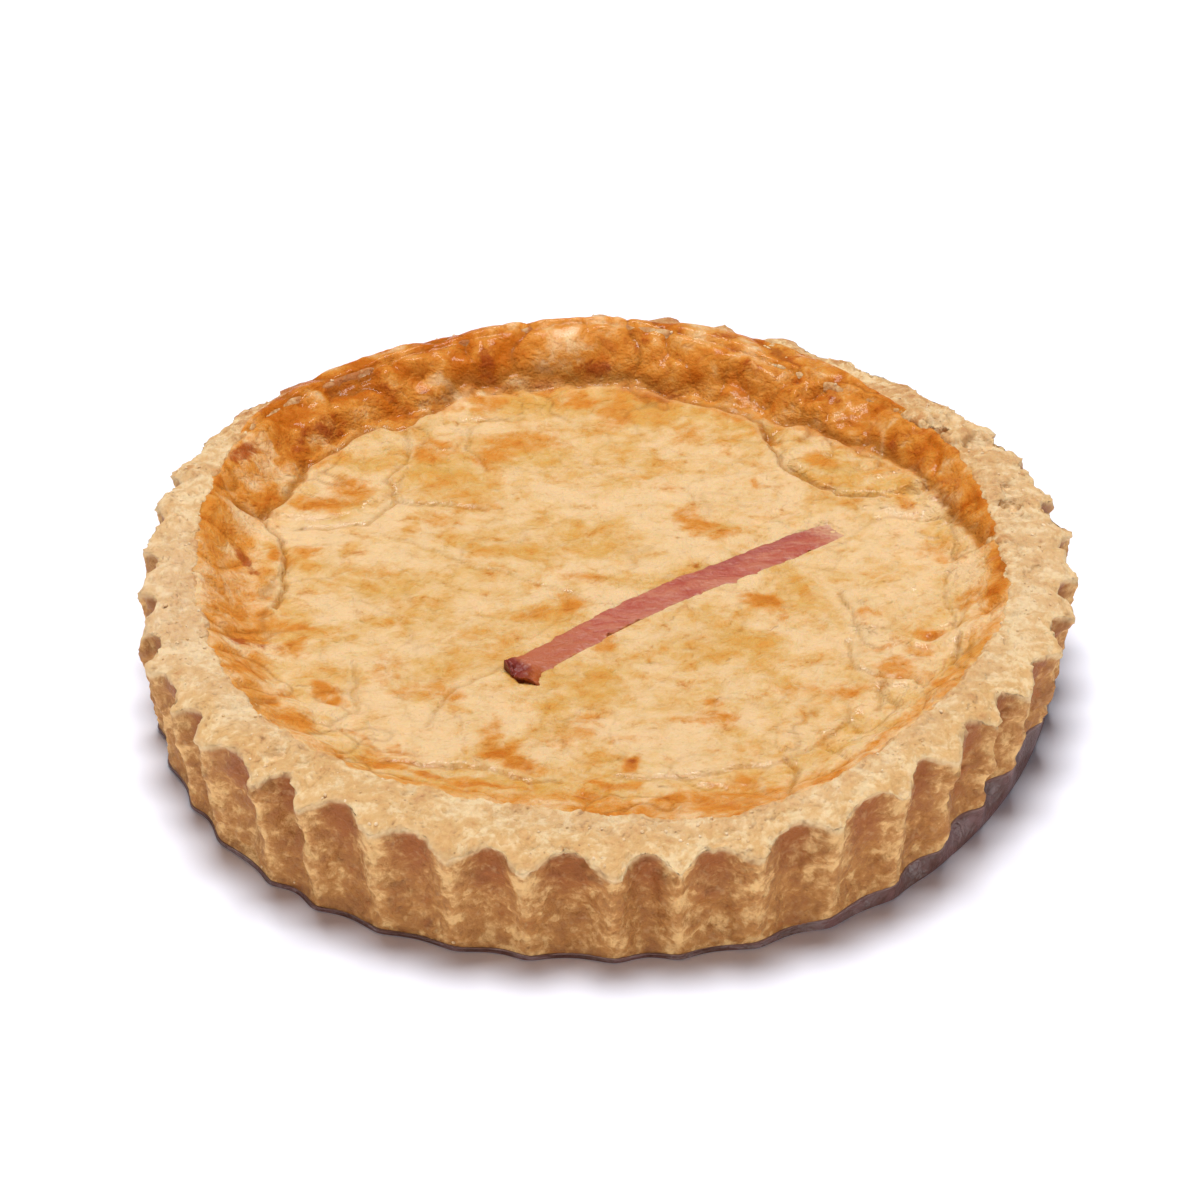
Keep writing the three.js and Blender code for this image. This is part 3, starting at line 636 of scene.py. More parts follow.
def fluted_crust_tree(material):
    """Pushes the flutes into a smooth round wall and rim, then gives the dough its lumps and pores."""
    tree, add = new_tree("Fluted crust", dict.fromkeys(
        ("Flutes", "Softness", "Crest Radius", "Foot Radius", "Rim Height", "Dome Start", "Crest Fall",
         "Relief"), "NodeSocketFloat"))
    size = add("NodeGroupInput").outputs
    kept = {name: add("GeometryNodeInputNamedAttribute", {"Name": name}, data_type="FLOAT")
            for name in ("turn", "lean", "depth", "outline", "shift", "rim", "inner", "zone", "share",
                         "chip", "angle", "relief", "lip")}
    # How far into a valley each point is.
    half = add("MULTIPLY", (size["Flutes"], 0.5))
    phase = add("MULTIPLY_ADD", (kept["turn"], half, kept["lean"]))
    wave = add("SINE", (phase,))
    soft = add("MULTIPLY", (size["Softness"], size["Softness"]))
    rounded = add("MULTIPLY_ADD", (wave, wave, soft))
    rounded = add("SQRT", (rounded,))
    full = add("ADD", (soft, 1.0))
    full = add("SQRT", (full,))
    valley = add(RANGE, (rounded, size["Softness"], full, 0.0, 1.0))
    inward = add("MULTIPLY", (valley, kept["depth"]))
    # The rim: from the wall's edge in to the filling, falling ever faster outwards.
    crest = add("ADD", (size["Crest Radius"], kept["outline"]))
    edge = add("SUBTRACT", (crest, inward))
    heights = []
    rim_radius = add(RANGE, (kept["share"], 0.0, 1.0, edge, kept["inner"]))
    for radius in (edge, rim_radius):
        out = add(RANGE, (radius, size["Dome Start"], crest, 0.0, 1.0))
        cubed = add("POWER", (out, 3.0))
        drop = add("MULTIPLY", (cubed, size["Crest Fall"]))
        heights.append(add("SUBTRACT", (kept["rim"], drop)))
    # The wall: from the foot up to that edge, its flutes a little shallower at the foot.
    wall_height = add(RANGE, (kept["share"], 0.0, 1.0, FOOT_RISE, heights[0]))
    up = add("DIVIDE", (wall_height, size["Rim Height"]))
    slant = add(RANGE, (up, 0.0, 1.0, size["Foot Radius"], size["Crest Radius"]),
                clamp=False)
    held = add(RANGE, (up, 0.0, 1.0, FOOT_SHARE, 1.0), clamp=False)
    wall_radius = add("MULTIPLY_ADD", (held, kept["outline"], slant))
    down = add("SUBTRACT", (1.0, up))
    wall_radius = add("MULTIPLY_ADD", (down, kept["shift"], wall_radius))
    fading = add(RANGE, (kept["share"], 0.0, 0.4, FOOT_FLUTES, 1.0))
    pushed = add("MULTIPLY", (inward, fading))
    wall_radius = add("SUBTRACT", (wall_radius, pushed))
    # Choose by zone: 0 stays as it is, 1 is wall, 2 is rim.
    on_rim = add("GREATER_THAN", (kept["zone"], 1.5))
    moved = add("GREATER_THAN", (kept["zone"], 0.5))
    radius = add("ShaderNodeMix", {0: on_rim, 2: wall_radius, 3: rim_radius})
    height = add("ShaderNodeMix", {0: on_rim, 2: wall_height, 3: heights[1]})
    height = add("SUBTRACT", (height, kept["chip"]))
    flat = []
    for operation, middle in zip(("COSINE", "SINE"), PIE_AXIS):
        part = add(operation, (kept["angle"],))
        flat.append(add("MULTIPLY_ADD", (radius, part, middle)))
    place = add("ShaderNodeCombineXYZ", (*flat, height))
    result = add("GeometryNodeSetPosition",
                 {"Geometry": size["Geometry"], "Selection": moved, "Position": place})
    # Dough relief along the surface: lumps of 9 mm, grains of 3 and 1.6 mm, tears and cracks.
    at = add("GeometryNodeInputPosition")
    wobble = add(NOISE, {"Vector": at, "Scale": 260.0, "Detail": 2.0})
    warped = add("ShaderNodeVectorMath", (wobble.outputs["Color"], (0.004, 0.004, 0.004), at),
                 operation="MULTIPLY_ADD")
    lump = add(NOISE, {"Vector": at, "Scale": 115.0, "Detail": 2.0})
    crumb = add(NOISE, {"Vector": at, "Scale": 430.0, "Detail": 4.0, "Roughness": 0.65, "Distortion": 0.4})
    clots = add("ShaderNodeTexVoronoi", {"Vector": warped, "Scale": 330.0, "Smoothness": 0.35},
                feature="SMOOTH_F1")
    beads = add("ShaderNodeTexVoronoi", {"Vector": warped, "Scale": 620.0, "Smoothness": 0.3},
                feature="SMOOTH_F1")
    tear = add(NOISE, {"Vector": warped, "Scale": 230.0, "Detail": 3.0, "Roughness": 0.6})
    pit = add(RANGE, (tear, 0.80, 0.90), interpolation_type="SMOOTHSTEP")
    vein = add(NOISE, {"Vector": at, "Scale": 120.0, "Detail": 5.0, "Distortion": 1.0})
    vein = add("SUBTRACT", (vein, 0.5))
    vein = add("ABSOLUTE", (vein,))
    crack = add(RANGE, (vein, 0.0, 0.012, 1.0, 0.0))
    open_here = add(RANGE, (lump, 0.52, 0.6))
    crack = add("MULTIPLY", (crack, open_here))
    fine = add(RANGE, (clots, 0.0, 0.7, 0.00024, -0.00026))
    for spread in ((beads, 0.0, 0.7, 0.00012, -0.00014), (crumb, 0.25, 0.75, -0.00045, 0.00045)):
        part = add(RANGE, spread)
        fine = add("ADD", (fine, part))
    # How high the fine relief stands: the material paints the hollows darker and the high crumbs paler, as
    # painted shade.
    raised = add(RANGE, (fine, -0.0004, 0.0004, 0.0, 1.0))
    ragged = add("MULTIPLY_ADD", (kept["lip"], 1.1, 1.0))
    fine = add("MULTIPLY", (fine, ragged))
    lumps = add(RANGE, (lump, 0.25, 0.75, -0.0012, 0.0012))
    amount = add("ADD", (lumps, fine))
    for opening, depth in ((pit, -0.0007), (crack, -0.0006)):
        amount = add("MULTIPLY_ADD", (opening, depth, amount))
    for share in (kept["relief"], size["Relief"]):
        amount = add("MULTIPLY", (amount, share))
    normal = add("GeometryNodeInputNormal")
    offset = add("ShaderNodeVectorMath", {0: normal, "Scale": amount}, operation="SCALE")
    # Kept for the material, which paints the pits and cracks dark as shade and the high crumbs paler.
    for name, value in (("pit", pit), ("crack", crack), ("raised", raised)):
        result = add("GeometryNodeStoreNamedAttribute",
                     {"Geometry": result, "Name": name, "Value": value}, data_type="FLOAT", domain="POINT")
    result = add("GeometryNodeSetPosition", {"Geometry": result, "Offset": offset})
    result = add("GeometryNodeRealizeInstances", {"Geometry": result})
    result = add("GeometryNodeSetMaterial", {"Geometry": result, "Material": material})
    add("NodeGroupOutput", (result,))
    return tree


class PIE_OT_crust(bpy.types.Operator):
    """Builds the fluted pastry crust"""

    bl_idname = "pie.crust"
    bl_label = "Pastry crust"

    def execute(self, context):
        pie, look = context.scene.pie_shape, context.scene.pie_crust
        columns = COLUMNS_PER_FLUTE * pie.flute_count
        angle = first_crest(pie) + np.arange(columns) / columns * 2 * math.pi
        edge, rim = inner_edge(pie, angle) - EDGE_OVERLAP, rim_height(pie, angle)
        floor, foot = 0.7 * MM, FOOT_RISE
        cavity = 99 * MM + FOOT_SHARE * MM * waves(OUTLINE_WAVES, angle)  # radius inside the wall
        valley = valley_share(pie, angle)
        depth = pie.flute_depth * (1 + waves(DEPTH_WAVES, angle))
        at_foot = crest_radius(pie, angle, foot) - depth * valley * FOOT_FLUTES
        low = 22 * MM  # the hidden inside, well under the filling
        profile = [  # (zone, share, radius, height) of each row, from the underside over the rim
            *((0, 0, share * (at_foot - 1.4 * MM), floor) for share in (0.4, 0.8, 1)),
            *((1, share, at_foot, foot) for share in np.linspace(0, 1, WALL_ROWS)),
            *((2, share, edge, rim) for share in np.linspace(0, 1, RIM_ROWS)[1:]),
            (0, 0, edge - 0.6 * MM, rim - 5 * MM), (0, 0, (edge + cavity) / 2, low),
            (0, 0, cavity, CRUST_FLOOR), (0, 0, 0.6 * cavity, CRUST_FLOOR),
        ]
        rings = round_rings([row[2:] for row in profile], angle)
        crust = ring_mesh("crust_fluted", (*PIE_AXIS, floor), rings, (*PIE_AXIS, CRUST_FLOOR))

        def whole(value):
            """A value for each row and column, with the two poles."""
            return np.concatenate(([0], np.broadcast_to(value, (len(profile), columns)).ravel(), [0]))

        zone = np.array([row[0] for row in profile])[:, None]
        share = np.array([row[1] for row in profile])[:, None]
        on_wall, on_rim = zone == 1, zone == 2
        # Where each point will roughly be, for chips, flour and toasting.
        outer = pie.crest_radius + MM * waves(OUTLINE_WAVES, angle) - depth * valley
        reach = np.where(on_rim, outer + (edge - outer) * share, outer)
        x = (reach * np.cos(angle) + PIE_AXIS[0]) / MM
        y = (reach * np.sin(angle) + PIE_AXIS[1]) / MM
        chip = sum(deep * (1 - soft_step(np.hypot(x - cx, y - cy), 0.4 * size, size))
                   for cx, cy, size, deep in CHIPS)
        near_top = soft_step(share, 0.9, 1)
        chip = chip * np.where(on_rim, 1, near_top * on_wall)
        # At the back right the crests' tips stand up in small rounded knobs.
        turn = np.degrees(angle) % 360
        knobs = soft_step(turn, 48, 60) * (1 - soft_step(turn, 90, 96)) * (1 - valley) ** 1.5
        at_tip = np.where(on_rim, 1 - soft_step(share, 0.1, 0.7), near_top * on_wall)
        chip = chip - 2.2 * knobs * at_tip
        # The rim's inner side turns down under the filling.
        inside = 1 - soft_step((reach - edge) / MM, 0, 2.0 * EDGE_OVERLAP / MM)
        chip = chip + on_rim * 3.2 * inside**1.5
        degrees = np.degrees(np.arctan2(y, x))
        flour = patches(degrees, np.where(on_rim, share, -1) * 10, FLOUR)
        browned = np.interp(degrees, *np.array(RIM_BROWNING).T)
        by_filling = browned + (1 - browned) * 0.3 * soft_step(share, 0.7, 1.0)
        toast = np.where(on_rim, by_filling, browned * near_top)
        rim_relief = on_rim * (1 - 0.5 * soft_step(share, 0.9, 1))
        relief = np.where(on_wall, soft_step(share, -0.05, 0.04), rim_relief) * (1 - 0.6 * browned)
        # It is smooth where the cheese has run over it.
        hidden_width = np.interp(degrees, *np.array(SPILL).T)
        bare = soft_step((reach - edge) / MM - hidden_width, -1.5, 0.5)
        relief = relief * np.where(on_rim & (hidden_width > 0), 0.2 + 0.8 * bare, 1)
        lip_share = (liner_lip(context.scene.pie_liner, angle) + 0.8 * MM) / rim
        relief = relief * np.where(on_wall & (share < lip_share), 0.2, 1)
        relief = relief * (1 + patches(x, y, BROKEN_RIM))
        # Browned valleys, strongest just under the rim: partly baking, partly painted shade under the rim's
        # overhang.
        brown = valley**2 * on_wall * (0.15 + 0.95 * soft_step(share, 0.4, 0.85))
        brown = brown * (1 - 0.6 * soft_step(np.abs(degrees), 140, 165))
        # The lip along the rim's outer edge: ragged relief, and a painted highlight in the material.
        lip = np.where(on_rim, 1 - soft_step(share, 0.0, 0.12), on_wall * soft_step(share, 0.93, 1))
        lip, flour = lip * (1 - browned), flour * (1 - browned)
        # The crests' share is kept for a painted highlight on them.
        store(crust, turn=whole(angle - first_crest(pie)), angle=whole(angle), lean=whole(lean(angle)),
              depth=whole(depth), outline=whole(MM * waves(OUTLINE_WAVES, angle)),
              shift=whole(foot_shift(angle)), rim=whole(rim),
              inner=whole(edge), zone=whole(zone), share=whole(share), chip=whole(chip * MM),
              relief=whole(relief), flour=whole(flour), edge_toast=whole(toast), brown=whole(brown),
              low=whole(on_wall * (1 - soft_step(share, 0.0, 0.07))), lip=whole(lip),
              ridge=whole((1 - valley) ** 2 * on_wall), wall=whole(on_wall * (1 - soft_step(share, 0.95, 1))))
        material = shortcrust(look)
        run_nodes(crust, fluted_crust_tree(material), **{
            "Flutes": float(pie.flute_count), "Softness": pie.crest_softness,
            "Crest Radius": pie.crest_radius, "Foot Radius": pie.foot_radius, "Rim Height": pie.rim_height,
            "Dome Start": pie.dome_start, "Crest Fall": pie.crest_fall, "Relief": look.relief})
        finish_piece(crust, material, "shortcrust", "pastry_crust")
        return {"FINISHED"}


# ---- Cheese filling ----------------------------------------------------------------------------

def baked_cheese(look):
    """Egg and cheese, baked in the open: a thin melted skin, greasy and slightly see-through, pale
    yellow where it is thick, toasted orange to brown where the oven caught it, with painted shade in its
    creases and painted glints on its pale film."""
    material, add = new_material("Baked cheese")
    place = add("ShaderNodeTexCoord").outputs["Object"]
    stored = {name: add("ShaderNodeAttribute", attribute_name=name).outputs["Fac"]
              for name in ("toast", "scorch", "crease_shade", "film", "raised", "yolky")}
    # Clouds of 18 mm and streaks of 3 mm, stretched along the ham; blotches of 6 mm; fine grain.
    stretched = add("ShaderNodeMapping",
                    {"Vector": place, "Rotation": (0, 0, -STREAK_TURN), "Scale": (0.8, 1, 1)})
    cloud = add(NOISE,
                {"Vector": stretched, "Scale": 56.0, "Detail": 6.0, "Roughness": 0.6, "Distortion": 0.6})
    blotch = add(NOISE,
                 {"Vector": place, "Scale": 165.0, "Detail": 7.0, "Roughness": 0.68, "Distortion": 0.4})
    streak = add(NOISE,
                 {"Vector": stretched, "Scale": 330.0, "Detail": 3.0, "Roughness": 0.55, "Distortion": 0.5})
    speckle = add(NOISE, {"Vector": place, "Scale": 1300.0, "Detail": 2.0})
    # Pale and milky to egg yellow.
    yolk = add("MULTIPLY_ADD", (cloud, 3.6, -1.4))
    for source, weight in ((streak, 1.0), (blotch, 1.4), (stored["raised"], -0.4), (stored["yolky"], 0.55)):
        yolk = add("MULTIPLY_ADD", (source, weight, yolk))
    yellow = add(RANGE, (yolk, 0.8, 2.1), interpolation_type="SMOOTHSTEP")
    base = add("ShaderNodeMix", {0: yellow, 6: look.cheese, 7: look.yolk}, data_type="RGBA")
    # Toasting spreads unevenly from where it is stored.
    toast = add("MULTIPLY_ADD", (cloud, 1.3, -0.65))
    for source, weight in ((blotch, 1.9), (streak, 0.5)):
        toast = add("MULTIPLY_ADD", (source, weight, toast))
    for source in (-1.3, stored["toast"]):
        toast = add("ADD", (toast, source))
    some = add(RANGE, (toast, -0.15, 0.7), interpolation_type="SMOOTHSTEP")
    more = add(RANGE, (toast, 0.45, 1.15), interpolation_type="SMOOTHSTEP")
    burn = add("MULTIPLY_ADD", (blotch, 2.0, -1.0))
    burn = add("MULTIPLY_ADD", (streak, 1.2, burn))
    for source in (-0.6, stored["scorch"]):
        burn = add("ADD", (burn, source))
    burnt = add(RANGE, (burn, 0.2, 0.9, 0.0, 0.85), interpolation_type="SMOOTHSTEP")
    # Painted shade in the creases; pale film at the flaps' edges, with painted glints.
    painted_crease_shade = add("MULTIPLY", (stored["crease_shade"], 0.75))
    pale = add("MULTIPLY", (stored["film"], 0.55))
    for share, tint in ((some, look.toasted), (more, look.browned), (burnt, look.scorched),
                        (painted_crease_shade, linear("#9C5C1E")), (pale, linear("#E2C291"))):
        base = add("ShaderNodeMix", {0: share, 6: base, 7: tint}, data_type="RGBA")
    ripples = add("ShaderNodeBump", {"Strength": 0.6, "Distance": 0.0006, "Height": speckle})
    for height, strength, distance in ((streak, 0.8, 0.0013), (blotch, 0.7, 0.0016)):
        ripples = add("ShaderNodeBump", {
            "Strength": strength, "Distance": distance, "Height": height, "Normal": ripples})
    shine = add(RANGE, (blotch, 0.38, 0.62, 0.28, 0.5))
    skin = add("ShaderNodeBsdfPrincipled", {
        "Base Color": base, "Roughness": shine, "IOR": 1.42, "Normal": ripples, "Specular IOR Level": 0.25,
        "Specular Tint": linear("#F2C38A"),
        "Subsurface Weight": 0.2, "Subsurface Radius": (0.003, 0.0012, 0.0004), "Subsurface Scale": 1.0,
        "Coat Weight": 0.13, "Coat Roughness": 0.08,
    })
    add("ShaderNodeOutputMaterial", (skin,))
    return material


def pillows(flat, size, seed):
    """Puffed cheese: rounded tops, 1 at the highest, with sharp creases of 0 between them."""
    bend = np.column_stack([rough_noise(flat, size, seed + more, 2) for more in (0, 5)])
    bent = flat + 0.35 * size * bend
    return np.clip(np.abs(rough_noise(bent, size, seed + 9, 2)) * 1.6, 0, 1) ** 0.6


class PIE_OT_filling(bpy.types.Operator):
    """Builds the baked cheese filling with its folds, creases and toasted patches"""

    bl_idname = "pie.filling"
    bl_label = "Cheese filling"

    def execute(self, context):
        pie, ham = context.scene.pie_shape, context.scene.pie_ham
        n = GRID_CELLS + 1
        across = np.linspace(-1, 1, n)
        u, v = (grid.ravel() for grid in np.meshgrid(across, across))
        disc_x, disc_y = u * np.sqrt(1 - v**2 / 2), v * np.sqrt(1 - u**2 / 2)
        angle = np.arctan2(disc_y, disc_x)
        degrees = np.degrees(angle)
        spill = MM * np.interp(degrees, *np.array(SPILL).T)
        crest = pie.crest_radius + MM * waves(OUTLINE_WAVES, angle)
        own_edge = inner_edge(pie, angle) + EDGE_OVERLAP
        outside = np.minimum(own_edge + spill, np.maximum(crest - 4.5 * MM, own_edge))
        from_middle = np.hypot(disc_x, disc_y)
        reach = from_middle * outside
        ax, ay = reach * np.cos(angle), reach * np.sin(angle)
        height, up, back = filling_shape(pie, ax, ay)
        x, y = (ax + PIE_AXIS[0]) / MM, (ay + PIE_AXIS[1]) / MM
        flat = np.column_stack((x, y))
        edge_zone = soft_step(reach / MM, 72, 92)
        # Where the oven has coloured it. Patches and folds wander, and have no clean outline.
        loose_x = x + 2.2 * rough_noise(flat, 9, 1, 4)
        loose_y = y + 2.2 * rough_noise(flat, 9, 6, 4)
        turns, *columns = np.array(BROWNING).T
        width, strength = (np.interp(degrees, turns, column) for column in columns)
        inward = (inner_edge(pie, angle) - reach) / MM + 1.6 * rough_noise(flat, 8, 5, 4)
        puffed, small_puffs = pillows(flat, 15, 201), pillows(flat, 7.5, 221)
        ring_width = width * (1 + 0.3 * back)
        ring = 1.25 * strength * (1 - soft_step(inward, 0.55 * ring_width, 1.3 * ring_width))
        # Puff tops are painted paler and the hollows between them browner: painted light and shade over the
        # oven's browning.
        ring *= 1.27 - 0.5 * puffed - 0.3 * small_puffs
        toast = np.maximum(ring, 1.25 * patches(loose_x, loose_y, TOASTED)) + 0.04
        foot = np.exp(-(((inward - width - 5) / 6) ** 2))
        yolky = np.maximum(foot * (0.4 + 0.5 * back), patches(loose_x, loose_y, YOLKY))
        scorch = patches(x + 0.5 * (loose_x - x), y + 0.5 * (loose_y - y), SCORCHED)
        # Painted shade: scorched colour in the creases between the puffs at the back.
        scorch = np.maximum(scorch, 0.4 * back * up * (1 - soft_step(puffed, 0.1, 0.45)))
        # Folds: a groove with one side lifted, and small scalloped flaps.
        relief, crease_shade, film = np.zeros((3, len(x)))
        wander_x, wander_y = x + rough_noise(flat, 6, 11, 3), y + rough_noise(flat, 6, 14, 3)
        for deep, wide, step, line in CREASES:
            away, side = line_distance(wander_x, wander_y, line)
            raised = side * np.sign(step) * np.tanh(away / wide)
            lifted = abs(step) * np.exp(-away / 9) * np.maximum(raised, 0)
            relief += lifted - deep * np.exp(-((away / wide) ** 2))
            # Painted shade along the groove.
            crease_shade = np.maximum(crease_shade, min(deep, 1) * np.exp(-((away / (0.8 * wide)) ** 2)))
            lip = np.exp(-(((away - 1.5 * wide) / (0.6 * wide)) ** 2)) * (side * step > 0)
            film = np.maximum(film, 0.8 * lip * (1 - 0.8 * ring))
        for at_x, at_y, radius, step in SMALL_FLAPS:
            inside = radius - np.hypot(wander_x - at_x, wander_y - at_y)
            relief += step * soft_step(inside, -0.3, 0.9) * np.exp(-np.maximum(inside, 0) / (0.8 * radius))
            film = np.maximum(film, 0.6 * np.exp(-(((inside - 0.6) / 0.5) ** 2)) * (1 - back))
        # Puffs round the edge, most of all at the back; a fine wrinkled skin over all of it.
        lively = 0.3 + 0.7 * np.maximum(soft_step(x, 35, 75), 0.7 * soft_step(-y, 40, 75)) + 0.3 * edge_zone
        relief += (0.5 * lively + 2.4 * back * up + 0.7 * edge_zone) * (puffed - 0.6)
        relief += (0.45 * lively + 0.5 * back * up + 0.3 * edge_zone) * (small_puffs - 0.6)
        c, s = math.cos(STREAK_TURN), math.sin(STREAK_TURN)
        stroked = np.column_stack((x * c + y * s, 2.2 * (y * c - x * s)))
        relief += 0.12 * rough_noise(stroked, 8, 71, 2) + 0.07 * rough_noise(flat, 3, 75, 2)
        # Painted shade in the creases between the puffs.
        crease_shade = np.maximum(crease_shade, (0.25 + 0.45 * edge_zone) * (1 - soft_step(puffed, 0.05, 0.3)))
        # Painted glints: pale film on the slopes of the small puffs.
        painted_glints = np.exp(-(((small_puffs - 0.3) / 0.12) ** 2))
        film = np.maximum(film, 0.7 * lively * painted_glints * (1 - np.clip(toast, 0, 1)))
        # The ham lies in a shallow bed.
        along, aside = ham_lane(ax / MM, ay / MM, ham)
        beyond = np.maximum(np.abs(along + 2) - ham.length / MM / 2 + 2, 0)
        off_ham = np.hypot(beyond, np.maximum(np.abs(aside) - 0.3 * ham.width / MM, 0))
        relief = relief * (0.2 + 0.8 * soft_step(off_ham, 0, 5)) - 0.8 * (1 - soft_step(off_ham, 0, 1.3))
        height = height + MM * relief * (1 - 0.65 * soft_step(up, 0.9, 1))
        height = np.minimum(height, rim_height(pie, angle) + 0.5 * MM)
        # Where it has run over the rim it follows the rim's dome, and its very edge dips into the pastry.
        dome = pie.crest_fall * np.clip((reach - pie.dome_start) / (crest - pie.dome_start), 0, 1) ** 3
        over = soft_step(reach - inner_edge(pie, angle), 0, 2 * MM) * soft_step(spill, 0, 2 * MM)
        dips = 1.6 * MM * soft_step(from_middle, 0.985, 1)
        height += over * (CHEESE_OVER_RIM - dome) - dips * (over > 0)
        points = np.column_stack((x * MM, y * MM, height))
        # Close it underneath: a side down to the floor of the crust, and a fan.
        floor = CRUST_FLOOR + 0.3 * MM
        index = np.arange(n * n).reshape(n, n)
        quads = np.stack((index[:-1, :-1], index[:-1, 1:], index[1:, 1:], index[1:, :-1]), -1).reshape(-1, 4)
        border = np.concatenate((index[0, :-1], index[:-1, -1], index[-1, :0:-1], index[:0:-1, 0]))
        low = points[border] * (0.94, 0.94, 0) + (0, 0, floor)
        lower = n * n + np.arange(len(border))
        after, lower_after = np.roll(border, -1), np.roll(lower, -1)
        sides = np.column_stack((border, lower, lower_after, after)).tolist()
        middle = n * n + len(border)
        fan = np.column_stack((lower, np.full_like(lower, middle), lower_after)).tolist()
        points = np.vstack((points, low, (0, 0, floor)))
        filling = mesh_object("filling_baked", points, quads.tolist() + sides + fan)
        hidden = np.zeros(len(border) + 1)
        values = {"toast": toast, "scorch": scorch, "crease_shade": crease_shade, "film": film, "yolky": yolky,
                  "raised": np.clip(relief + 0.5, 0, 1)}
        store(filling, **{name: np.append(value, hidden) for name, value in values.items()})
        finish_piece(filling, baked_cheese(context.scene.pie_filling), "baked_cheese", "cheese_filling")
        return {"FINISHED"}


# ---- Ham strip ---------------------------------------------------------------------------------

def cooked_ham(look):
    """Cooked ham, sliced across the grain: moist pink meat with darker streaks along the strip, its
    near end burnt dark and its far end under a film of cheese."""
    material, add = new_material("Cooked ham")
    place = add("ShaderNodeTexCoord").outputs["Object"]
    stored = {name: add("ShaderNodeAttribute", attribute_name=name).outputs["Fac"]
              for name in ("burnt", "frill", "faded", "dusk", "warm", "side")}
    turned = add("ShaderNodeMapping",
                 {"Vector": place, "Rotation": (0, 0, math.radians(-look.heading)), "Scale": (0.35, 1, 1)})
    streak = add(NOISE,
                 {"Vector": turned, "Scale": 330.0, "Detail": 6.0, "Roughness": 0.66, "Distortion": 0.5})
    fine = add(NOISE, {"Vector": place, "Scale": 1000.0, "Detail": 3.0})
    streaked = add(RANGE, (streak, 0.40, 0.62))
    base = add("ShaderNodeMix", {0: streaked, 6: look.meat, 7: linear("#BF7256")}, data_type="RGBA")
    # Warm near its near end and dusky at the right, then seen through melted cheese along its sides
    # and at the far end; the near end is frilled brown and burnt.
    layers = []
    for name, noise, slope, low, high, most, tint in (
        ("warm", streak, 1.8, 0.3, 0.9, 0.85, "#B4603A"),
        ("dusk", streak, -2.4, 0.25, 1.0, 0.6, "#A04A42"),
        ("side", fine, 1.6, 0.55, 1.05, 0.85, "#C4824E"),
        ("faded", fine, 1.6, 0.2, 1.0, 0.85, "#CFA07C"),
    ):
        uneven = add("MULTIPLY_ADD", (noise, slope, -slope / 2))
        uneven = add("ADD", (stored[name], uneven))
        layers.append((add(RANGE, (uneven, low, high, 0.0, most)), tint))
    for share, tint in (*layers, (stored["frill"], "#A8521E"), (stored["burnt"], "#802E22")):
        base = add("ShaderNodeMix", {0: share, 6: base, 7: linear(tint)}, data_type="RGBA")
    fibres = add("ShaderNodeBump", {"Strength": 0.8, "Distance": 0.0007, "Height": streak})
    fibres = add("ShaderNodeBump", {"Strength": 0.7, "Distance": 0.0004, "Height": fine, "Normal": fibres})
    skin = add("ShaderNodeBsdfPrincipled", {
        "Base Color": base, "Roughness": 0.4, "IOR": 1.42, "Normal": fibres, "Specular IOR Level": 0.5,
        "Subsurface Weight": 0.12, "Subsurface Radius": (0.002, 0.0008, 0.0006), "Subsurface Scale": 1.0,
    })
    add("ShaderNodeOutputMaterial", (skin,))
    return material


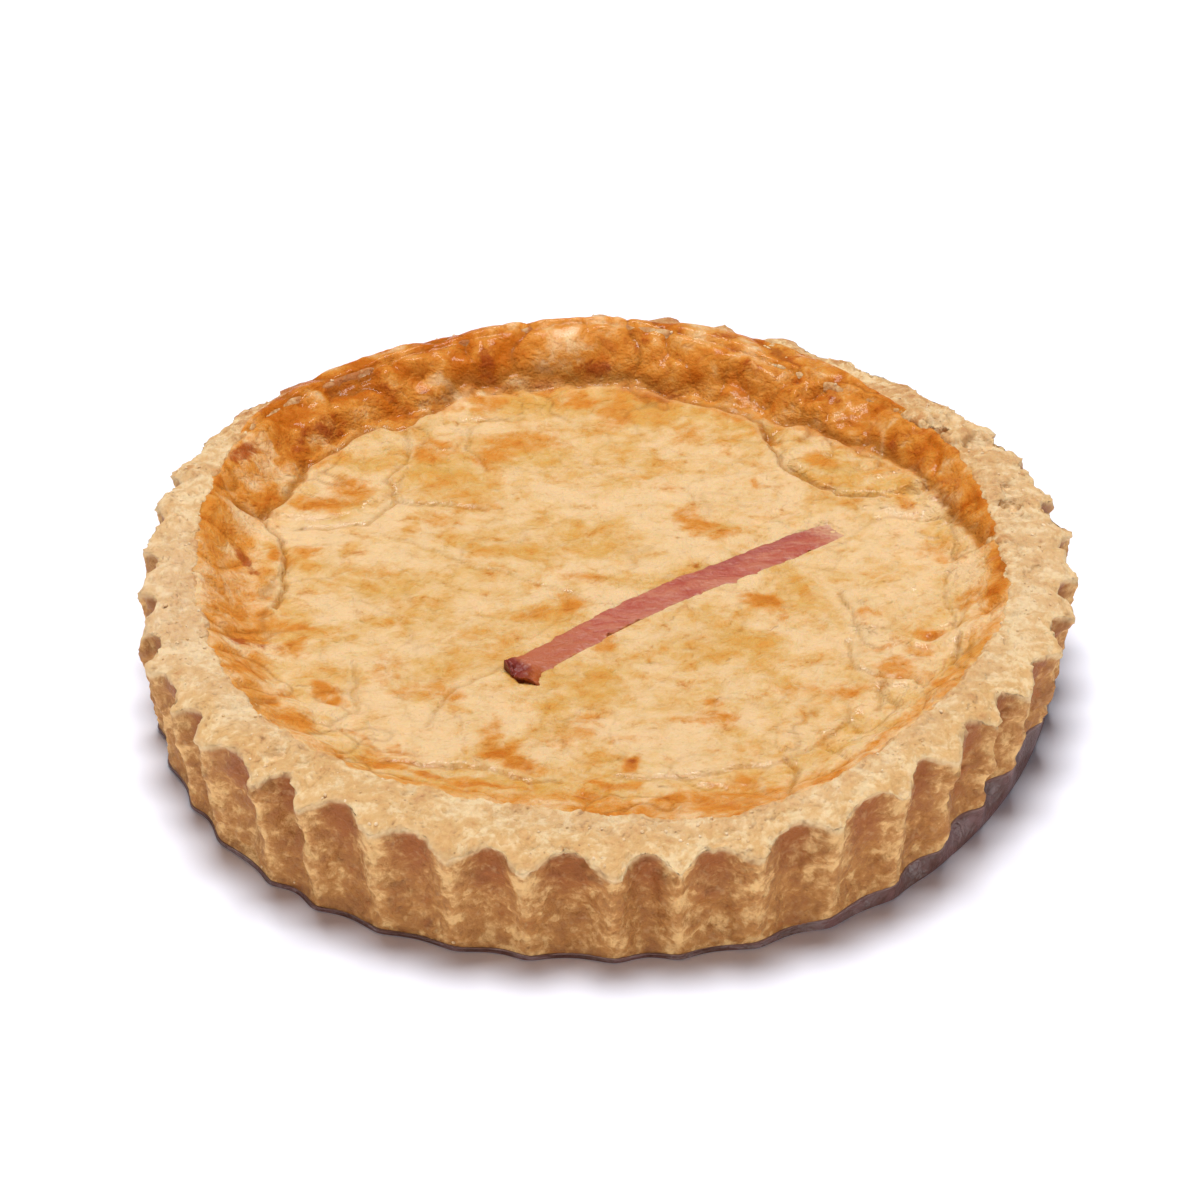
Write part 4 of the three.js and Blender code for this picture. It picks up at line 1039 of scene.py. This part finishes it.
class PIE_OT_ham(bpy.types.Operator):
    """Builds the strip of ham that lies in the filling"""

    bl_idname = "pie.ham"
    bl_label = "Ham strip"

    def execute(self, context):
        pie, ham = context.scene.pie_shape, context.scene.pie_ham
        half, width = ham.length / MM / 2, ham.width / MM
        steps, strands = 300, 32
        far = half - 1.8  # the far end lies under the cheese's skin
        along, t = np.meshgrid(np.linspace(-half, far, steps), np.linspace(1, -1, strands), indexing="ij")
        flat = np.column_stack((along.ravel(), t.ravel() * 5))

        def noise(size, seed, octaves=3):
            return rough_noise(flat, size, seed, octaves).reshape(t.shape)

        end = np.minimum(along + half, far - along)
        sides = np.column_stack((along.ravel(), np.sign(t).ravel() * 9))
        ragged = rough_noise(sides, 3.4, 3, 4).reshape(t.shape)
        wavy = noise(16, 63, 2)
        near_end, far_end = 1 - soft_step(along + half, 0, 8), soft_step(along, half - 15, half - 2)
        lower = soft_step(-t, 0.2, 1.0)
        broad = 0.8 + 0.2 * soft_step(end, 0, 3) + 0.12 * soft_step(along, 20, 40)
        aside = t * width / 2 * broad * (1 + (0.08 + 0.24 * (t < 0)) * ragged * np.abs(t) ** 3)
        aside += np.where(t < 0, 0.9, 0.4) * wavy * np.abs(t)
        aside -= lower * 2.4 * near_end * (0.7 + 0.6 * noise(1.8, 41))
        along = along + 0.9 * noise(2.4, 17) * (1 - soft_step(end, 0, 2.5))
        spot = ham_spot(along, aside, ham)
        level = filling_shape(pie, spot[0] * MM, spot[1] * MM)[0]
        bumps = noise(2.2, 23)
        rounding = np.clip(1 - np.abs(t) ** 6, 0, 1) ** 0.5
        dished = 2.4 * soft_step(t, -0.6, 0.1) * (1 - soft_step(t, 0.3, 0.95))
        curled = near_end * (1.1 + 1.5 * soft_step(t, -0.9, 0.6) - dished)
        top = ham.proud / MM - 0.1 + 0.14 * bumps + curled + 0.7 * near_end * noise(1.2, 51) - 0.8 * far_end
        height = level / MM + top * rounding - 0.7 * (1 - rounding)
        upper = np.stack((spot[0], spot[1], height), -1)
        under = upper[:, ::-1].copy()
        under[..., 2] = level[:, ::-1] / MM - 1.4
        rings = np.concatenate((upper, under), axis=1) * MM + (*PIE_AXIS, 0)
        tips = [rings[k].mean(axis=0) for k in (0, -1)]
        strip = ring_mesh("ham_sliced", tips[0], rings, tips[1])

        def both(value):
            """The top's value on top and underneath, with the two ends."""
            return np.concatenate(([0], np.concatenate((value, value[:, ::-1]), axis=1).ravel(), [0]))

        # Burnt on its upper left, frilled brown on its lower right.
        from_end = along + half
        burnt = (1 - soft_step(from_end + 1.2 * bumps, 3.4, 5.6)) * soft_step(t + 0.25 * bumps, -0.75, -0.2)
        frill = (1 - soft_step(from_end + 1.2 * bumps, 4.5, 8.5)) * (0.3 + 0.7 * soft_step(-t, -0.1, 0.5))
        dusk = soft_step(along, -5, 22) * soft_step(t, -0.3, 0.7) * (1 - 0.7 * far_end)
        store(strip, burnt=both(burnt), frill=both(frill), faded=both(far_end), dusk=both(dusk),
              warm=both(1 - soft_step(from_end, 5, 45)), side=both(soft_step(np.abs(t), 0.5, 1.0)))
        finish_piece(strip, cooked_ham(ham), "ham", "ham_strip")
        return {"FINISHED"}


# ---- Base liner --------------------------------------------------------------------------------

def greasy_paper(look):
    """Greaseproof baking paper, soaked and browned in the oven: thin, dark mauve-brown and satin, with
    brown fat stains and a light line where the cut edge catches the light."""
    material, add = new_material("Greaseproof paper")
    place = add("ShaderNodeTexCoord").outputs["Object"]
    edge = add("ShaderNodeAttribute", attribute_name="edge").outputs["Fac"]
    stain = add(NOISE,
                {"Vector": place, "Scale": 120.0, "Detail": 5.0, "Roughness": 0.6, "Distortion": 0.8})
    creased = add(NOISE,
                  {"Vector": place, "Scale": 380.0, "Detail": 4.0, "Roughness": 0.6, "Distortion": 0.4})
    stained = add(RANGE, (stain, 0.40, 0.62))
    brown = add(RANGE, (creased, 0.50, 0.66, 0.0, 0.8))
    base = look.paper
    # The edge's light line is a painted highlight.
    for share, tint in ((stained, "#6C4A46"), (brown, "#4F2C1E"), (edge, "#94756E")):
        base = add("ShaderNodeMix", {0: share, 6: base, 7: linear(tint)}, data_type="RGBA")
    folds = add("ShaderNodeBump", {"Strength": 0.7, "Distance": 0.001, "Height": creased})
    skin = add("ShaderNodeBsdfPrincipled", {
        "Base Color": base, "Roughness": 0.32, "IOR": 1.45, "Normal": folds,
        "Sheen Weight": 0.15, "Sheen Roughness": 0.4, "Sheen Tint": linear("#B9A6B4"),
    })
    add("ShaderNodeOutputMaterial", (skin,))
    return material


class PIE_OT_liner(bpy.types.Operator):
    """Builds the thin liner round the pie's foot"""

    bl_idname = "pie.liner"
    bl_label = "Base liner"

    def execute(self, context):
        pie, liner = context.scene.pie_shape, context.scene.pie_liner
        columns = 24 * pie.flute_count
        angle = first_crest(pie) + np.arange(columns) / columns * 2 * math.pi
        lip = liner_lip(liner, angle)
        around = np.column_stack((np.cos(angle), np.sin(angle))) * 115
        valley = valley_share(pie, angle) * pie.flute_depth * (1 + waves(DEPTH_WAVES, angle))
        tall = soft_step(lip / MM, 2, 6)
        uneven = 0.45 * rough_noise(around, 7, 91, 3) + 0.5 * (0.5 - valley / pie.flute_depth)
        lip = lip + MM * uneven * (0.2 + 0.8 * tall)

        def radius_at(share):
            """Pressed into the flutes at the lip, and a plain round at the table."""
            height = lip * share
            fluted = FOOT_FLUTES + (1 - FOOT_FLUTES) * np.clip(height / (13 * MM), 0, 1)
            pressed = fluted * (share * tall + 1 - tall)
            places = np.column_stack((around, np.full(columns, 40 * share)))
            crinkle = MM * 0.2 * rough_noise(places, 5, 95, 2)
            flare = 0.6 * MM * soft_step(-np.sin(angle), 0.4, 0.9) * (1 - share)
            clear = crest_radius(pie, angle, height) - pressed * valley + LINER_STANDOFF
            return clear + crinkle * share + flare

        thick = liner.thickness
        flat = 0.8 * pie.foot_radius
        shares = np.linspace(0, 1, 10)
        profile = [(flat, lip * 0), (radius_at(0) - 0.2 * MM, lip * 0)]
        profile += [(radius_at(share) + thick, np.maximum(lip * share, 0.15 * MM)) for share in shares]
        profile += [(radius_at(share) - 0.6 * MM, lip * share) for share in shares[:2:-2]]
        profile += [(radius_at(0) - 2.4 * MM, lip * 0 + thick), (flat, lip * 0 + thick)]
        rings = round_rings(profile, angle)
        paper = ring_mesh("liner_paper", (*PIE_AXIS, 0), rings, (*PIE_AXIS, thick))
        # A painted highlight along the paper's cut edge, on the lip's two rows.
        edge = np.zeros((len(profile), columns))
        outer_lip = 1 + len(shares)  # the row at the lip on the outside; the inside's comes after it
        edge[outer_lip : outer_lip + 2] = 0.8
        store(paper, edge=np.concatenate(([0], edge.ravel(), [0])))
        finish_piece(paper, greasy_paper(liner), "greaseproof", "base_liner")
        return {"FINISHED"}


# ---- Crumbs ------------------------------------------------------------------------------------

def loose_crumb():
    """Loose shortcrust crumbs: dry, matt and a shade paler than the rim they fell from."""
    material, add = new_material("Loose pastry crumb")
    place = add("ShaderNodeTexCoord").outputs["Object"]
    tone = add(NOISE, {"Vector": place, "Scale": 300.0, "Detail": 2.0})
    tone = add(RANGE, (tone, 0.35, 0.65))
    base = add("ShaderNodeMix", {0: tone, 6: linear("#EBD1AB"), 7: linear("#D6AD78")}, data_type="RGBA")
    skin = add("ShaderNodeBsdfPrincipled", {"Base Color": base, "Roughness": 0.85, "IOR": 1.45})
    add("ShaderNodeOutputMaterial", (skin,))
    return material


def crumb_tree(material):
    """Strews small broken crumbs over the surface, more where its "crumby" number is high."""
    tree, add = new_tree("Strewn crumbs", {
        "Density": "NodeSocketFloat", "Size": "NodeSocketFloat", "Seed": "NodeSocketInt"})
    size = add("NodeGroupInput").outputs
    where = add("GeometryNodeInputNamedAttribute", {"Name": "crumby"}, data_type="FLOAT")
    density = add("MULTIPLY", (where, size["Density"]))
    points = add("GeometryNodeDistributePointsOnFaces",
                 {"Mesh": size["Geometry"], "Density": density, "Seed": size["Seed"]})
    crumb = add("GeometryNodeMeshIcoSphere", {"Radius": 0.5, "Subdivisions": 1})
    at = add("GeometryNodeInputPosition")
    knobbly = add("ShaderNodeTexWhiteNoise", {"Vector": at}, noise_dimensions="3D")
    pull = add(RANGE, (knobbly.outputs["Value"], 0.0, 1.0, -0.35, 0.25))
    push = add("ShaderNodeVectorMath", {0: at, "Scale": pull}, operation="SCALE")
    crumb = add("GeometryNodeSetPosition", {"Geometry": crumb.outputs["Mesh"], "Offset": push})
    turn = add("FunctionNodeRandomValue",
               {0: (0, 0, 0), 1: (6.28, 6.28, 6.28), "Seed": size["Seed"]}, data_type="FLOAT_VECTOR")
    grow = add("FunctionNodeRandomValue", {2: 0.4, 3: 1.5, "Seed": size["Seed"]}, data_type="FLOAT")
    grow = add("MULTIPLY", (grow.outputs[1], size["Size"]))
    strewn = add("GeometryNodeInstanceOnPoints", {
        "Points": points.outputs["Points"], "Instance": crumb, "Rotation": turn.outputs[0], "Scale": grow})
    result = add("GeometryNodeRealizeInstances", {"Geometry": strewn})
    result = add("GeometryNodeSetMaterial", {"Geometry": result, "Material": material})
    add("NodeGroupOutput", (result,))
    return tree


class PIE_OT_crumbs(bpy.types.Operator):
    """Strews loose crumbs over the rim of the crust"""

    bl_idname = "pie.crumbs"
    bl_label = "Crumbs"

    def execute(self, context):
        look = context.scene.pie_crust
        crust = bpy.data.objects["crust_fluted"]
        crumbs = bpy.data.objects.new("crust_crumbs", crust.data.copy())
        context.scene.collection.objects.link(crumbs)
        count = len(crumbs.data.vertices)
        values = {}
        for name in ("zone", "share", "chip"):
            values[name] = np.empty(count, dtype=np.float32)
            crumbs.data.attributes[name].data.foreach_get("value", values[name])
        on_rim = (values["zone"] == 2) * (1 - soft_step(values["share"], 0.8, 0.95))
        low = (values["zone"] == 1) * (1 - soft_step(values["share"], 0.0, 0.1)) * 0.5
        store(crumbs, crumby=on_rim + low)
        crumbs.data.materials.clear()
        material = loose_crumb()
        rim_area = 0.0095  # square metres
        run_nodes(crumbs, crumb_tree(material),
                  Density=look.crumb_count / rim_area, Size=look.crumb_size, Seed=7)
        finish_piece(crumbs, material, "shortcrust")
        return {"FINISHED"}


# ---- Stage -------------------------------------------------------------------------------------

class PIE_OT_stage(bpy.types.Operator):
    """Sets the white floor, the soft lights and the camera"""

    bl_idname = "pie.stage"
    bl_label = "Stage"

    def execute(self, context):
        scene, look = context.scene, context.scene.pie_stage
        scene.view_settings.view_transform = "Standard"
        half = 3.0
        floor = mesh_object("studio_floor", np.array(
            ((-half, -half, 0), (half, -half, 0), (half, half, 0), (-half, half, 0))), [(0, 1, 2, 3)])
        # Matt white board, a touch blue.
        material, add = new_material("White board")
        board = add("ShaderNodeBsdfPrincipled", {
            "Base Color": linear("#F3F5FF"), "Roughness": 0.9, "Specular IOR Level": 0.2})
        add("ShaderNodeOutputMaterial", (board,))
        floor.data.materials.append(material)

        scene.world = bpy.data.worlds.new("White room")
        scene.world.use_nodes = True
        room = scene.world.node_tree
        room.nodes.clear()
        sky = add_node(room, "ShaderNodeBackground", {"Color": linear("#DFE6FF"), "Strength": look.sky})
        add_node(room, "ShaderNodeOutputWorld", (sky,))

        for name, power, wide, high, place in (
            ("Key light", look.key, 1.0, 0.85, (-0.03, 0.47, 2.14)),
            ("Fill light", look.fill, 2.4, 0.11, (0, -1.35, 0.06)),
            ("Left light", look.side, 0.6, 0.16, (-1.2, -0.4, 0.09)),
            ("Right light", look.side, 0.6, 0.16, (1.2, -0.4, 0.09)),
        ):
            light = bpy.data.lights.new(name, "AREA")
            light.shape, light.energy, light.size, light.size_y = "RECTANGLE", power, wide, high
            lamp = bpy.data.objects.new(name, light)
            lamp.location = place
            lamp.rotation_euler = (-Vector(place)).to_track_quat("-Z", "Y").to_euler()
            scene.collection.objects.link(lamp)

        # The camera looks down on the pie from the front, and is held a little askew.
        elevation, roll, distance = math.radians(34.17), math.radians(1.15), 0.9
        focal_pixels, frame_pixels, sensor = 3628, 1200, 36
        back = Vector((0, -math.cos(elevation), math.sin(elevation)))
        up = Vector((0, math.sin(elevation), math.cos(elevation)))
        right = Vector((1, 0, 0))
        middle = Vector((*PIE_AXIS, 33 * MM)) - 0.56 * MM * right - 11.3 * MM * up
        lens = bpy.data.cameras.new("Camera")
        lens.sensor_width, lens.lens = sensor, focal_pixels / frame_pixels * sensor
        camera = bpy.data.objects.new("Camera", lens)
        tilted_right = right * math.cos(roll) - up * math.sin(roll)
        tilted_up = right * math.sin(roll) + up * math.cos(roll)
        camera.matrix_world = Matrix.Translation(middle + distance * back) @ Matrix(
            (tilted_right, tilted_up, back)).transposed().to_4x4()
        scene.collection.objects.link(camera)
        scene.camera = camera
        return {"FINISHED"}


class PIE_PT_sidebar(bpy.types.Panel):
    """Lists the pie's pieces and their settings"""

    bl_label = "Ham and cheese pie"
    bl_space_type = "VIEW_3D"
    bl_region_type = "UI"
    bl_category = "Pie"

    def draw(self, context):
        for group, kind in SETTINGS.items():
            column = self.layout.column(align=True)
            for name in kind.__annotations__:
                column.prop(getattr(context.scene, group), name)
        for operator in PIECES:
            self.layout.operator(operator.bl_idname)


PIECES = (PIE_OT_crust, PIE_OT_filling, PIE_OT_ham, PIE_OT_liner, PIE_OT_crumbs, PIE_OT_stage)


def register():
    for kind in (*SETTINGS.values(), *PIECES, PIE_PT_sidebar):
        bpy.utils.register_class(kind)
    for name, kind in SETTINGS.items():
        setattr(bpy.types.Scene, name, PointerProperty(type=kind))


def unregister():
    for name in SETTINGS:
        delattr(bpy.types.Scene, name)
    for kind in (PIE_PT_sidebar, *reversed(PIECES), *reversed(SETTINGS.values())):
        bpy.utils.unregister_class(kind)


def main():
    register()
    bpy.ops.pie.crust()
    bpy.ops.pie.filling()
    bpy.ops.pie.ham()
    bpy.ops.pie.liner()
    bpy.ops.pie.crumbs()
    bpy.ops.pie.stage()


if __name__ == "__main__":
    main()
